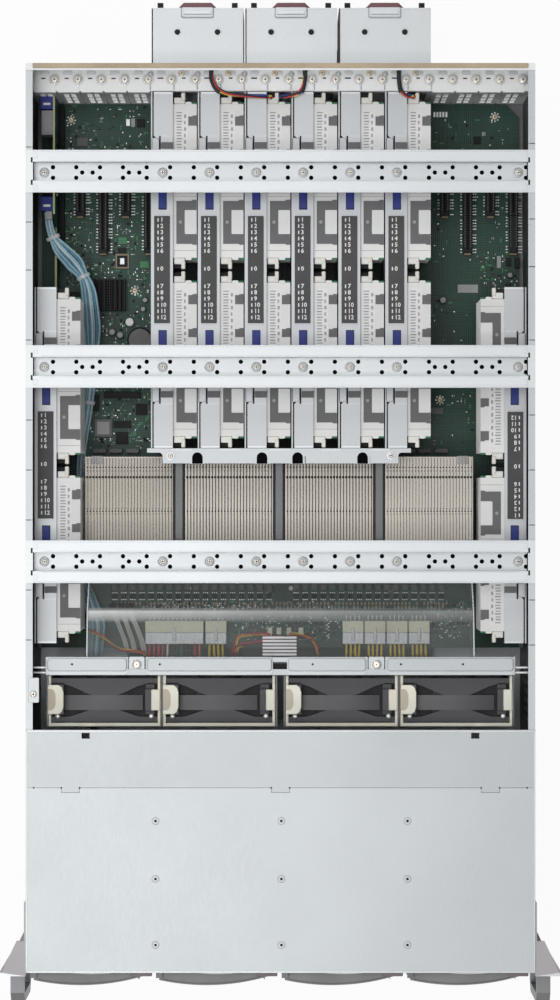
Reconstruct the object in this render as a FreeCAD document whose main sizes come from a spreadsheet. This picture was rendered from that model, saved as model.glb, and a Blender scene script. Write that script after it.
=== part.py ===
import FreeCAD, Part
import math
import os
from types import SimpleNamespace

import Sketcher

# A 4U rack server with its lid off: front at -Y, rear at +Y, origin under the middle of the whole box.

VECTOR = FreeCAD.Vector
TURN_TO_Y = FreeCAD.Rotation(VECTOR(1, 0, 0), -90)
HALF_TURN = FreeCAD.Rotation(VECTOR(0, 0, 1), 180)

# Driving dimensions, in millimetres
SIZES = {
    "chassis_width": 437.0,
    "chassis_height": 177.0,
    "ear_reach": 22.8,
    "handle_reach": 32.7,
    "rear_reach": 57.5,
    "wall": 1.2,
    "fit_gap": 0.3,
    "top_flange": 6.0,
    # Covers over the drive bays
    "cover_length": 158.5,
    "strip_length": 49.5,
    "seam_tab_width": 15.4,
    "seam_tab_length": 4.0,
    "seam_tab_inset": 37.3,
    "strip_hole_inset": 50.3,
    # Drive bays
    "cage_margin": 1.3,
    "bay_headroom": 4.6,
    "bay_floor": 3.2,
    "rail_width": 2.5,
    "rail_height": 1.2,
    "cage_depth": 168.0,
    "carrier_gap": 0.4,
    "carrier_clearance": 1.6,
    "carrier_depth": 160.0,
    "carrier_sheet": 1.2,
    "bezel_depth": 9.0,
    "drive_margin": 2.2,
    "drive_depth": 147.0,
    "drive_headroom": 6.4,
    "lever_end": 3.0,
    "lever_margin": 3.7,
    "lever_crown": 12.0,
    "lever_bow": 55.84,
    "lever_wall": 2.5,
    "hinge_radius": 2.7,
    "backplane_thickness": 2.0,
    # Fan row
    "fan_side_gap": 16.3,
    "fan_depth": 38.0,
    "fan_rim": 2.0,
    "fan_flange": 4.5,
    "fan_duct": 1.9,
    "fan_clip": 2.2,
    "fan_shelf": 46.2,
    "fan_bay_depth": 45.0,
    "fan_head": 12.0,
    "fan_pair_gap": 2.4,
    "fan_centre_gap": 9.2,
    "hub_radius": 19.0,
    "motor_plate": 5.0,
    "tip_gap": 1.6,
    "shaft_radius": 2.0,
    "shaft_gap": 0.08,
    "fan_bar_depth": 15.6,
    "fan_bar_height": 16.0,
    # Board and its tray
    "tray_height": 42.0,
    "standoff": 4.8,
    "board_thickness": 1.6,
    "board_margin": 4.3,
    "board_gap": 3.8,
    "slot_margin": 3.94,
    "slot_shift": -0.9,
    "slot_window_rim": 2.8,
    "slot_cover_gap": 1.72,
    "slot_cover_sheet": 0.9,
    "slot_connector_height": 11.0,
    "slot_connector_width": 7.5,
    "short_slot": 56.0,
    "long_slot": 89.0,
    "slot_setback": 65.6,
    "flange_drop": 36.0,
    "slot_vent_base": 12.0,
    "guide_apron": 18.0,
    "flange_depth": 17.5,
    # Power supplies and the board they feed
    "psu_width": 54.5,
    "psu_height": 40.0,
    "psu_depth": 336.0,
    "psu_handle_reach": 28.0,
    "power_board_level": 18.0,
    "power_board_side": 138.0,
    "power_header": 12.0,
    # Rear fan boxes
    "rear_box_gap": 1.68,
    "rear_box_clearance": 8.0,
    "rear_fan_margin": 5.2,
    "rear_box_depth": 52.5,
    "rear_fan_rim": 1.8,
    "rear_grip_width": 26.8,
    "rear_grip_depth": 7.0,
    # Memory modules
    "module_length": 309.0,
    "module_gap": 0.74,
    "module_shift": 9.6,
    "module_socket": 12.0,
    "side_module_setback": 169.4,
    "side_module_gap": 4.0,
    "riser_thickness": 2.0,
    "stick_end_gap": 10.25,
    "stick_width": 30.0,
    "stick_thickness": 4.5,
    "stick_base": 6.0,
    "stick_headroom": 3.6,
    "stick_split": 21.7,
    "module_cover_width": 19.0,
    "module_cover_end": 52.5,
    "module_lever_length": 38.0,
    "module_tongue": 11.5,
    # Processors
    "sink_margin": 3.5,
    "sink_gap": 10.6,
    "sink_shift": -1.2,
    "sink_setback": 60.9,
    "sink_to_module": 7.0,
    "shroud_drop": 11.9,
    "sink_length": 109.0,
    "sink_height": 58.0,
    "sink_base": 7.0,
    "fin_thickness": 0.9,
    "socket_height": 4.0,
    "socket_side": 60.0,
    # Cross braces
    "brace_width": 36.6,
    "brace_recess": 18.6,
    "brace_depth": 14.0,
    "brace_pitch": 167.4,
    "brace_setback": 92.7,
    "brace_sheet": 1.2,
    # Ears and handles
    "ear_thickness": 3.0,
    "ear_gusset": 27.0,
    "ear_hole_inset": 8.75,
    "rack_hole_height": 101.6,
    "rack_slot_length": 10.0,
    "rack_slot_width": 7.0,
    "handle_width": 12.0,
    "handle_height": 84.0,
    "handle_bar": 8.0,
    # Card in the leftmost slot
    "card_height": 66.0,
    "card_length": 167.0,
    "card_low_height": 40.0,
    "card_header_setback": 100.0,
    "card_connector": 11.0,
    # Cables
    "loom_diameter": 7.0,
    "loom_wall_gap": 49.3,
    "loom_front_run": 94.0,
    "lead_diameter": 3.0,
    "ribbon_thickness": 3.0,
    "ribbon_bend": 9.0,
}

# Counts of what repeats
COLUMNS = 4
ROWS = 6
STICK_LEVELS = 6
SLOTS = 21
FIRST_SLOT_COVERS = (0, 1, 2, 3, 4)
LAST_SLOT_COVERS = (17, 18, 19, 20)
CENTRAL_MODULES = 6
FINS = 29
BLADES = 7
DUCT_SIDES = 24
BORE_SIDES = 36
HUB_SIDES = 16
CORD_SIDES = 6

doc = FreeCAD.newDocument("rack_server")
sheet = doc.addObject("Spreadsheet::Sheet", "dims")
for row, (alias, number) in enumerate(SIZES.items(), start=1):
    sheet.set(f"A{row}", alias)
    sheet.set(f"B{row}", str(number))
    sheet.setAlias(f"B{row}", alias)
doc.recompute()


class Size:
    """A sheet value, or a sum or product of them: its number, and the expression that binds to it."""

    def __init__(self, text, value):
        self.text = text
        self.value = value

    def __add__(self, other):
        other = as_size(other)
        return Size(f"({self.text} + {other.text})", self.value + other.value)

    def __sub__(self, other):
        other = as_size(other)
        return Size(f"({self.text} - {other.text})", self.value - other.value)

    def __mul__(self, other):
        other = as_size(other)
        return Size(f"({self.text} * {other.text})", self.value * other.value)

    def __truediv__(self, other):
        other = as_size(other)
        return Size(f"({self.text} / {other.text})", self.value / other.value)

    def __radd__(self, other):
        return as_size(other) + self

    def __rsub__(self, other):
        return as_size(other) - self

    def __rmul__(self, other):
        return as_size(other) * self

    def __neg__(self):
        return Size(f"(0 - {self.text})", -self.value)


def as_size(item):
    """A Size as it is, and a plain number as a Size."""
    if isinstance(item, Size):
        return item
    return Size(f"({item:g})", float(item))


def smaller(first, second):
    """The smaller of two sizes."""
    return Size(f"min({first.text}; {second.text})", min(first.value, second.value))


d = SimpleNamespace(**{alias: Size(f"dims.{alias}", number) for alias, number in SIZES.items()})

# Planes and levels that several pieces share
HALF = d.chassis_width / 2
INNER = HALF - d.wall
TOP = d.chassis_height
LID = TOP - d.wall
FAN_ROW = d.cover_length + d.strip_length + d.fan_bay_depth + d.fan_bar_depth + 4 * d.fit_gap
BOARD_ROW = d.board_gap + d.sink_setback + d.sink_length + d.sink_to_module + d.module_length
SLOT_STEP = 2 * d.fit_gap + 2 * d.wall + d.flange_depth
BODY_LENGTH = FAN_ROW + BOARD_ROW + SLOT_STEP
FRONT = d.handle_reach - (d.handle_reach + BODY_LENGTH + d.rear_reach) / 2
REAR = FRONT + BODY_LENGTH
BACK = REAR - d.wall
FLANGE = TOP - d.flange_drop
SLOT_WALL = BACK - d.flange_depth
SLOT_FACE = SLOT_WALL - d.wall - d.fit_gap
BOARD = d.tray_height + d.wall + d.standoff + d.board_thickness
STRIP_FRONT = FRONT + d.cover_length + d.fit_gap
STRIP_REAR = STRIP_FRONT + d.strip_length
FAN_FRONT = STRIP_REAR + 2 * d.fit_gap
FAN_REAR = FAN_FRONT + d.fan_bay_depth
FAN_BASE = d.fan_shelf + d.fit_gap
FAN_CARRIER_WIDTH = (INNER - d.fan_side_gap - d.fan_centre_gap / 2 - d.fan_pair_gap) / 2
FAN_SIZE = FAN_CARRIER_WIDTH - 2 * (d.fan_clip + d.fit_gap)
FAN_BORE = FAN_SIZE / 2 - d.fan_rim
FAN_CARRIER_HEIGHT = FAN_SIZE + d.fan_head
FAN_NEAR = (d.fan_centre_gap + FAN_CARRIER_WIDTH) / 2
FAN_FAR = FAN_NEAR + FAN_CARRIER_WIDTH + d.fan_pair_gap
FAN_CENTRES = (-FAN_FAR, -FAN_NEAR, FAN_NEAR, FAN_FAR)
FAN_BAR_TOP = FAN_BASE + FAN_CARRIER_HEIGHT + 2 * d.wall
FAN_BAR_REAR = FAN_REAR + d.fit_gap + d.fan_bar_depth
FAN_AXIS = FAN_BASE + d.fan_clip + d.fit_gap + FAN_SIZE / 2
BOARD_REAR = SLOT_FACE - 3 * d.fit_gap
BOARD_FRONT = FAN_BAR_REAR + d.board_gap
BOARD_LENGTH = BOARD_REAR - BOARD_FRONT
BOARD_HALF = INNER - d.board_margin
COLUMN_PITCH = 2 * (INNER - d.cage_margin) / COLUMNS
CARRIER_WIDTH = COLUMN_PITCH - d.wall - 2 * d.carrier_gap
ROW_PITCH = (LID - d.bay_floor - d.bay_headroom) / ROWS
CARRIER_HEIGHT = ROW_PITCH - d.carrier_clearance
DRIVE_HEIGHT = CARRIER_HEIGHT - d.drive_headroom
LEVER_HEIGHT = CARRIER_HEIGHT - 2 * d.lever_margin
DRIVE_WIDTH = CARRIER_WIDTH - 2 * d.drive_margin
LEVER_LENGTH = CARRIER_WIDTH - d.lever_end
LEVER_RADIUS = LEVER_LENGTH * LEVER_LENGTH / d.lever_bow
SLOT_PITCH = 2 * (INNER - d.slot_margin) / SLOTS
SLOT_COVER_WIDTH = SLOT_PITCH - d.slot_cover_gap
SLOT_WINDOW = SLOT_COVER_WIDTH - 2 * d.slot_window_rim
PSU_PITCH = d.psu_width + d.wall + 2 * d.fit_gap
PSU_FLOOR = d.wall + d.fit_gap
MODULE_BASE = BOARD + d.module_socket + d.fit_gap
MODULE_REAR = SLOT_FACE - d.fit_gap
MODULE_MIDDLE = MODULE_REAR - d.module_length / 2
MODULE_WIDTH = 2 * SLOT_PITCH - d.module_gap
STICK_SPACE = FLANGE - MODULE_BASE - d.stick_base - d.stick_thickness - d.stick_headroom
STICK_PITCH = STICK_SPACE / (STICK_LEVELS - 1)
STICK_LENGTH = (d.module_length - d.stick_split) / 2 - d.stick_end_gap
MODULE_COVER_LENGTH = d.module_length - 2 * d.module_cover_end
SINK_PITCH = (INNER - d.side_module_gap - MODULE_WIDTH - d.sink_margin + d.sink_gap / 2) / 2
SINK_WIDTH = SINK_PITCH - d.sink_gap
SINK_REAR = MODULE_REAR - d.module_length - d.sink_to_module
SINK_FLOOR = BOARD + d.socket_height
SINK_TOP = SINK_FLOOR + d.sink_height
RISER_FACE = d.wall + d.fit_gap
REAR_BOX_WIDTH = 4 * SLOT_PITCH - d.rear_box_gap
REAR_BOX_TOP = FLANGE - d.wall - d.fit_gap
REAR_BOX_FLOOR = PSU_FLOOR + d.psu_height + d.rear_box_clearance
REAR_BOX_HEIGHT = REAR_BOX_TOP - REAR_BOX_FLOOR
REAR_FAN_BORE = smaller(REAR_BOX_WIDTH / 2 - d.rear_fan_rim, REAR_BOX_HEIGHT / 2 - d.rear_fan_margin)
BRACE_LINES = [REAR - d.brace_setback - d.brace_pitch * step for step in range(3)]

nodes = []


def bind(item, path, size):
    """Tie a property to the sheet."""
    item.setExpression(path, as_size(size).text)


def place(item, corner):
    """Tie an object's place to the sheet."""
    for axis, size in zip("xyz", corner):
        bind(item, f".Placement.Base.{axis}", size)
    return item


def between(low, high):
    """A block from its low corner to its high corner."""
    item = doc.addObject("Part::Box", "block")
    for side, start, end in zip(("Length", "Width", "Height"), low, high):
        bind(item, side, as_size(end) - start)
    return place(item, low)


def cylinder(base, radius, length, turn=None):
    """A round bar standing on its base point, along Z or along a turned Z."""
    item = doc.addObject("Part::Cylinder", "bar")
    bind(item, "Radius", radius)
    bind(item, "Height", length)
    if turn:
        item.Placement.Rotation = turn
    return place(item, base)


def faceted_bar(base, radius, length, sides=6, turn=None):
    """A bar with flat sides, standing on its base point, along Z or along a turned Z."""
    item = doc.addObject("Part::Prism", "faceted_bar")
    item.Polygon = sides
    bind(item, "Circumradius", radius)
    bind(item, "Height", length)
    if turn:
        item.Placement.Rotation = turn
    return place(item, base)


def union(parts, name="joined"):
    """Solids fused to one."""
    item = doc.addObject("Part::MultiFuse", name)
    item.Shapes = parts
    item.Refine = True
    return item


def group(parts, name="group"):
    """Separate solids held as one object."""
    item = doc.addObject("Part::Compound", name)
    item.Links = parts
    return item


def cut(base, tools, name="cut"):
    """A solid less its tools."""
    item = doc.addObject("Part::Cut", name)
    item.Base = base
    item.Tool = tools[0] if len(tools) == 1 else group(tools, "tools")
    item.Refine = True
    return item


def common(first, second):
    """The space that two solids share."""
    item = doc.addObject("Part::Common", "common")
    item.Base = first
    item.Tool = second
    return item


def copy_of(item, corner, turn=None):
    """One more of a solid that is drawn at the origin."""
    link = doc.addObject("App::Link", "copy")
    link.LinkedObject = item
    link.LinkTransform = True
    if turn:
        link.Placement.Rotation = turn
    return place(link, corner)


def origin_feature(body, role):
    """A body's own plane or axis."""
    return next(item for item in body.Origin.OriginFeatures if item.Role == role)


def outline(body, plane, points, offset=0):
    """A closed sketch of straight lines, with every corner tied to the sheet."""
    sketch = body.newObject("Sketcher::SketchObject", "outline")
    sketch.AttachmentSupport = (origin_feature(body, plane + "_Plane"), "")
    sketch.MapMode = "FlatFace"
    bind(sketch, ".AttachmentOffset.Base.z", offset)
    corners = [(as_size(across), as_size(along)) for across, along in points]
    ends = [VECTOR(across.value, along.value, 0) for across, along in corners]
    for index, end in enumerate(ends):
        sketch.addGeometry(Part.LineSegment(end, ends[(index + 1) % len(ends)]))
    for index in range(len(ends)):
        sketch.addConstraint(Sketcher.Constraint("Coincident", index, 2, (index + 1) % len(ends), 1))
    for index, corner in enumerate(corners):
        for kind, size in zip(("DistanceX", "DistanceY"), corner):
            number = sketch.addConstraint(Sketcher.Constraint(kind, -1, 1, index, 1, size.value))
            sketch.setExpression(f"Constraints[{number}]", size.text)
    return sketch


def disc(body, radius, offset=0):
    """A round sketch about the body's Z axis."""
    sketch = body.newObject("Sketcher::SketchObject", "disc")
    sketch.AttachmentSupport = (origin_feature(body, "XY_Plane"), "")
    sketch.MapMode = "FlatFace"
    bind(sketch, ".AttachmentOffset.Base.z", offset)
    sketch.addGeometry(Part.Circle(VECTOR(0, 0, 0), VECTOR(0, 0, 1), as_size(radius).value))
    sketch.addConstraint(Sketcher.Constraint("Coincident", 0, 3, -1, 1))
    number = sketch.addConstraint(Sketcher.Constraint("Radius", 0, as_size(radius).value))
    sketch.setExpression(f"Constraints[{number}]", as_size(radius).text)
    return sketch


def pad(body, sketch, depth):
    """A sketch drawn out along its normal."""
    feature = body.newObject("PartDesign::Pad", "pad")
    feature.Profile = sketch
    bind(feature, "Length", depth)
    return feature


def prism(plane, points, start, depth):
    """A body drawn out from an outline, from start to start + depth along the third axis."""
    body = doc.addObject("PartDesign::Body", "body")
    pad(body, outline(body, plane, points), depth)
    if plane == "XZ":
        bind(body, ".Placement.Base.y", as_size(start) + depth)
    else:
        bind(body, ".Placement.Base." + {"XY": "z", "YZ": "x"}[plane], start)
    return body


def node(item, label):
    """Keep an object as a sub-part of the server."""
    item.Label = label
    nodes.append(item)


# Chassis

def make_chassis_pan():
    """Folded channel: floor, two side walls, and a lip inward along the top of each wall."""
    lip = HALF - d.top_flange
    right = [(HALF, 0), (HALF, LID), (lip, LID), (lip, LID - d.wall), (INNER, LID - d.wall), (INNER, d.wall)]
    left = [(-across, up) for across, up in reversed(right)]
    channel = prism("XZ", right + left, FRONT, BODY_LENGTH - d.wall)
    slot_width = 4
    slot_pitch = 8
    slots = []
    for step in range(6):
        start = FAN_FRONT + slot_width / 2 + slot_pitch * step
        slots.append(between((INNER - d.wall, start, d.fan_shelf + 12),
                             (HALF + d.wall, start + slot_width, FLANGE)))
    node(cut(channel, slots), "chassis_pan")


def slot_centre(number):
    """Middle of an expansion slot, counted from the left."""
    return d.slot_shift + SLOT_PITCH * (number - (SLOTS - 1) / 2)


def rear_box_centre(number):
    """Middle of a rear fan box: each covers four slots."""
    return d.slot_shift + SLOT_PITCH * (4 * number - 3.5)


def make_rear_panel():
    """Rear wall in two steps: upper wall, slot flange, and the slot wall set back under it."""
    side = INNER - d.fit_gap
    inside = SLOT_WALL - d.wall
    parts = [
        between((-HALF, BACK, FLANGE - d.wall), (HALF, REAR, TOP)),
        between((-HALF, REAR - d.top_flange, LID), (HALF, BACK, TOP)),
        between((-side, inside, FLANGE - d.wall), (side, BACK, FLANGE)),
        between((-side, inside, d.wall), (side, SLOT_WALL, FLANGE)),
    ]
    bay = 2 * PSU_PITCH
    openings = [between((-bay, inside - 1, d.wall), (bay, SLOT_WALL + 1, d.tray_height))]
    margin = 8
    for number in FIRST_SLOT_COVERS + LAST_SLOT_COVERS:
        centre = slot_centre(number)
        openings.append(between((centre - SLOT_WINDOW / 2, inside - 1, BOARD + margin),
                                (centre + SLOT_WINDOW / 2, SLOT_WALL + 1, FLANGE - margin)))
    for number in range(3):
        centre = rear_box_centre(number)
        reach = REAR_FAN_BORE - 1
        middle = REAR_BOX_FLOOR + REAR_BOX_HEIGHT / 2
        openings.append(between((centre - reach, inside - 1, middle - reach),
                                (centre + reach, SLOT_WALL + 1, middle + reach)))
        openings.append(lead_hole(centre))
    node(cut(union(parts), openings), "rear_panel")


LEAD_OFFSET = 12
LEAD_RUNS = (53, -22, 14)


def lead_hole(centre):
    """Hole in the upper rear wall for a rear fan's lead."""
    across = centre + LEAD_OFFSET
    reach = d.lead_diameter
    height = FLANGE + 2 * d.lead_diameter
    return between((across - reach, BACK - d.wall, height - reach),
                   (across + reach, REAR + d.wall, height + reach))


def seam_tabs(gap, depth):
    """The three tabs of the cover strip, grown by a gap."""
    tabs = []
    for side in (-1, 0, 1):
        centre = (INNER - d.seam_tab_inset) * side
        half = d.seam_tab_width / 2 + gap
        tabs.append(between((centre - half, STRIP_FRONT - d.seam_tab_length - gap, LID - depth),
                            (centre + half, STRIP_FRONT + gap, TOP + depth)))
    return tabs


def make_covers():
    """Front cover with notched rear edge, and the strip behind it whose tabs lie in the notches."""
    cover = between((-HALF, FRONT, LID), (HALF, FRONT + d.cover_length, TOP))
    node(cut(cover, seam_tabs(d.fit_gap, d.wall)), "front_cover")
    strip = between((-HALF, STRIP_FRONT, LID), (HALF, STRIP_REAR, TOP))
    tabbed = union([strip] + seam_tabs(0, 0))
    hole = 3.5
    holes = []
    for side in (-1, 1):
        centre = (INNER - d.strip_hole_inset) * side
        holes.append(between((centre - hole, STRIP_REAR - 7.5, LID - d.wall),
                             (centre + hole, STRIP_REAR - 2.5, TOP + d.wall)))
    node(cut(tabbed, holes), "cover_strip")


# Drive bays

def column_left(column):
    """Left face of a carrier in its column."""
    return COLUMN_PITCH * (column - (COLUMNS - 1) / 2) - CARRIER_WIDTH / 2


def row_floor(row):
    """Underside of a carrier in its row."""
    return d.bay_floor + ROW_PITCH * row


def make_drive_cage():
    """Upright plates between the drive columns, with a pair of rails under each carrier."""
    start = FRONT + d.bezel_depth
    end = FRONT + d.cage_depth
    parts = []
    for index in range(COLUMNS + 1):
        middle = COLUMN_PITCH * (index - COLUMNS / 2)
        parts.append(between((middle - d.wall / 2, start, d.wall),
                             (middle + d.wall / 2, end, LID - d.wall - d.fit_gap)))
        left = middle - d.wall / 2 - (d.rail_width if index > 0 else 0)
        right = middle + d.wall / 2 + (d.rail_width if index < COLUMNS else 0)
        for row in range(ROWS):
            floor = row_floor(row) - d.fit_gap
            parts.append(between((left, start, floor - d.rail_height), (right, end, floor)))
    node(union(parts), "drive_cage")


LOOM_ACROSS = d.loom_wall_gap - INNER
LOOM_HEADER = 4


def make_backplane():
    """Upright board behind the carriers, with a row of air slots between the drive rows."""
    face = FRONT + d.cage_depth + d.fit_gap
    side = INNER - d.fit_gap
    board = between((-side, face, d.wall), (side, face + d.backplane_thickness, LID - d.wall - d.fit_gap))
    slots = []
    for column in range(COLUMNS):
        for row in range(ROWS):
            left = column_left(column) + CARRIER_WIDTH * 0.55
            right = left + CARRIER_WIDTH * 0.38
            floor = row_floor(row) + 4
            slots.append(between((left, face - d.wall, floor),
                                 (right, face + d.backplane_thickness + d.wall, floor + 17)))
    rear = face + d.backplane_thickness
    header = between((LOOM_ACROSS - 9, rear, 12), (LOOM_ACROSS + 9, rear + LOOM_HEADER, 26))
    node(union([cut(board, slots), header]), "drive_backplane")


def carrier_frame():
    """Tray with two side rails, a window in its front bezel and two lugs for the lever."""
    low = d.carrier_sheet
    floor = between((0, 0, 0), (CARRIER_WIDTH, d.carrier_depth, low))
    left = between((0, 0, 0), (low, d.carrier_depth, CARRIER_HEIGHT * 0.55))
    right = between((CARRIER_WIDTH - low, 0, 0), (CARRIER_WIDTH, d.carrier_depth, CARRIER_HEIGHT * 0.55))
    bezel = between((0, 0, 0), (CARRIER_WIDTH, d.bezel_depth, CARRIER_HEIGHT))
    rim = 4
    window = between((rim, -1, rim), (CARRIER_WIDTH - rim, d.bezel_depth + 1, CARRIER_HEIGHT - rim))
    parts = [cut(bezel, [window]), floor, left, right]
    lug = (CARRIER_HEIGHT - LEVER_HEIGHT) / 2 - d.fit_gap
    for base in (0, CARRIER_HEIGHT - lug):
        parts.append(between((0, -2 * d.hinge_radius, base), (2 * d.hinge_radius, 0, base + lug)))
    return union(parts)


def drive_block():
    """A hard drive lying on the carrier's tray."""
    left = (CARRIER_WIDTH - DRIVE_WIDTH) / 2
    start = d.bezel_depth + d.fit_gap
    return between((left, start, d.carrier_sheet),
                   (left + DRIVE_WIDTH, start + d.drive_depth, d.carrier_sheet + DRIVE_HEIGHT))


LEVER_FLOOR = (CARRIER_HEIGHT - LEVER_HEIGHT) / 2
CROWN_SHARE = 0.42


def carrier_block():
    """A loaded carrier of the rows that stay in place: bezel and drive as one closed form."""
    bezel = between((0, 0, 0), (CARRIER_WIDTH, d.bezel_depth, CARRIER_HEIGHT))
    inset = (CARRIER_WIDTH - DRIVE_WIDTH) / 2
    drive = between((inset, d.bezel_depth, 0), (inset + DRIVE_WIDTH, d.carrier_depth, DRIVE_HEIGHT))
    return union([bezel, drive])


def lever_crown(overlap=0):
    """Crowned front of a pull lever, from its hinge line to its free end."""
    low = LEVER_FLOOR
    centre = (LEVER_LENGTH * CROWN_SHARE, LEVER_RADIUS - d.lever_crown, low)
    blank = between((d.hinge_radius, -d.lever_crown, low),
                    (LEVER_LENGTH, overlap - d.fit_gap, low + LEVER_HEIGHT))
    return common(blank, cylinder(centre, LEVER_RADIUS, LEVER_HEIGHT))


def lever_shape():
    """Crowned pull lever, hollow behind, with its hinge barrel at the left end."""
    low = LEVER_FLOOR
    high = low + LEVER_HEIGHT
    end_rib = 6
    centre = (LEVER_LENGTH * CROWN_SHARE, LEVER_RADIUS - d.lever_crown, low)
    hollow = common(between((d.hinge_radius + end_rib, -d.lever_crown, low + d.lever_wall),
                            (LEVER_LENGTH - 2 * end_rib, d.fit_gap, high - d.lever_wall)),
                    cylinder(centre, LEVER_RADIUS - d.lever_wall, LEVER_HEIGHT))
    barrel_radius = d.hinge_radius - d.fit_gap
    barrel = cylinder((d.hinge_radius, -d.hinge_radius - d.fit_gap, low), barrel_radius, LEVER_HEIGHT)
    return union([cut(lever_crown(), [hollow]), barrel])


def make_drives():
    """Top row of carriers with levers that open; the rows below share one node."""
    frame = carrier_frame()
    drive = drive_block()
    lever = lever_shape()
    closed_carrier = union([carrier_block(), lever_crown(d.fit_gap)])
    lower = []
    for column in range(COLUMNS):
        for row in range(ROWS):
            corner = (column_left(column), FRONT, row_floor(row))
            if row == ROWS - 1:
                node(group([copy_of(frame, corner), copy_of(drive, corner)]), f"drive_carrier_{column + 1}")
                node(group([copy_of(lever, corner)]), f"drive_lever_{column + 1}")
            else:
                lower.append(copy_of(closed_carrier, corner))
    node(group(lower), "lower_drive_carriers")


# Fan row

def make_fan_cage():
    """Shelf on two webs with cable windows, and upright plates beside the fan modules."""
    reach = FAN_FAR + FAN_CARRIER_WIDTH / 2 + d.fan_pair_gap / 4
    edge = reach + d.wall
    parts = [between((-edge, FAN_FRONT, d.fan_shelf - d.wall), (edge, FAN_REAR, d.fan_shelf))]
    window = 70
    for start in (FAN_FRONT, FAN_REAR - d.wall):
        web = between((-edge, start, d.wall), (edge, start + d.wall, d.fan_shelf - d.wall))
        windows = []
        for centre in FAN_CENTRES:
            windows.append(between((centre - window / 2, start - 1, 12),
                                   (centre + window / 2, start + d.wall + 1, d.fan_shelf - 3)))
        parts.append(cut(web, windows))
    pair = FAN_NEAR + FAN_CARRIER_WIDTH / 2 + d.fan_pair_gap / 2
    middle = d.fan_centre_gap / 2 - d.fan_pair_gap / 4
    top = FAN_BASE + FAN_CARRIER_HEIGHT * 0.9
    for left in (-edge, -pair - d.wall / 2, -middle, middle - d.wall, pair - d.wall / 2, reach):
        parts.append(between((left, FAN_FRONT, d.fan_shelf - d.wall), (left + d.wall, FAN_REAR, top)))
    node(union(parts), "fan_cage")


NOTCH_SHARES = (-0.813, 0, 0.544)


def make_fan_bar():
    """Folded bar behind the fans, notched at its two screw tabs and at the middle."""
    edge = FAN_FAR + FAN_CARRIER_WIDTH / 2 + d.fan_pair_gap / 4 + d.wall
    top = FAN_BAR_TOP
    start = FAN_REAR + d.fit_gap
    end = FAN_BAR_REAR
    low = top - d.fan_bar_height
    section = [(start, low), (start + d.wall, low), (start + d.wall, top - d.wall), (end, top - d.wall),
               (end, top), (start, top)]
    bar = prism("YZ", section, -edge, 2 * edge)
    notch = 15
    notches = []
    for share in NOTCH_SHARES:
        centre = FAN_FAR * share
        notches.append(between((centre - notch / 2, start + 5, top - 2 * d.wall),
                               (centre + notch / 2, end + 1, top + 1)))
    foot = 12
    feet = []
    for left in (-edge, edge - foot):
        feet.append(between((left, start, d.wall), (left + foot, start + d.wall, top - d.wall)))
    node(union([cut(bar, notches)] + feet), "fan_cage_bar")


def fan_carrier(centre):
    """Open-topped carrier: two sides, a base, a front edge, a finger loop and a clip block."""
    half = FAN_CARRIER_WIDTH / 2
    left = centre - half
    right = centre + half
    start = FAN_FRONT + d.fit_gap
    end = FAN_REAR - 2 * d.fit_gap
    top = FAN_BASE + FAN_CARRIER_HEIGHT
    roof = FAN_AXIS + FAN_SIZE / 2 + d.fit_gap
    side_top = roof + d.fan_clip
    loop_width = 13
    loop_start = start + 11
    loop_end = loop_start + 25
    loop = cut(between((left, loop_start, roof), (left + loop_width, loop_end, top)),
               [between((left - 1, loop_start + 4, roof), (left + loop_width + 1, loop_end - 4, top - 2))])
    return union([
        between((left, start, FAN_BASE), (left + d.fan_clip, end, side_top)),
        between((right - d.fan_clip, start, FAN_BASE), (right, end, side_top)),
        between((left, start, FAN_BASE), (right, end, FAN_BASE + d.fan_clip)),
        between((left, start, roof), (right, start + 3, side_top)),
        between((right - loop_width, loop_start + 3, roof), (right, loop_end - 4, side_top + 2)),
        loop,
    ])


def fan_frame(centre, start, axis, size, bore, depth):
    """Fan frame: two square flanges on a round duct, and the motor plate on four struts at its rear."""
    half = size / 2
    end = start + depth
    duct = faceted_bar((centre, start, axis), bore + d.fan_duct, depth, DUCT_SIDES, TURN_TO_Y)
    flanges = []
    for front in (start, end - d.fan_flange):
        flanges.append(between((centre - half, front, axis - half),
                               (centre + half, front + d.fan_flange, axis + half)))
    opening = faceted_bar((centre, start - 1, axis), bore, depth + 2, BORE_SIDES, TURN_TO_Y)
    shell = cut(union([duct] + flanges), [opening])
    plate = end - d.motor_plate
    strut = 2.5
    reach = bore + d.wall / 2
    parts = [
        shell,
        faceted_bar((centre, plate, axis), d.hub_radius, d.motor_plate, HUB_SIDES, TURN_TO_Y),
        between((centre - reach, plate, axis - strut), (centre + reach, end, axis + strut)),
        between((centre - strut, plate, axis - reach), (centre + strut, end, axis + reach)),
    ]
    bearing = cylinder((centre, plate - 1, axis), d.shaft_radius + d.shaft_gap, d.motor_plate, TURN_TO_Y)
    return cut(union(parts), [bearing])


def fan_rotor(centre, start, axis, bore, depth):
    """Rotor: hub, shaft and slanted blades, drawn about Z and turned to Y."""
    length = depth - d.motor_plate - d.fit_gap
    body = doc.addObject("PartDesign::Body", "rotor")
    corners = [2 * math.pi * (step + 0.5) / HUB_SIDES for step in range(HUB_SIDES)]
    hub = [(d.hub_radius * math.cos(corner), d.hub_radius * math.sin(corner)) for corner in corners]
    pad(body, outline(body, "XY", hub), length)
    pad(body, disc(body, d.shaft_radius), depth - 2 * d.fit_gap - 2)
    root = d.hub_radius - 3
    tip = bore - d.tip_gap - 2.5
    blade = pad(body, outline(body, "YZ", blade_section(length), root), tip - root)
    pattern = body.newObject("PartDesign::PolarPattern", "blades")
    pattern.Originals = [blade]
    pattern.Axis = (origin_feature(body, "Z_Axis"), [""])
    pattern.Angle = 360
    pattern.Occurrences = BLADES
    body.Tip = pattern
    body.Placement.Rotation = TURN_TO_Y
    return place(body, (centre, start, axis))


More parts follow.
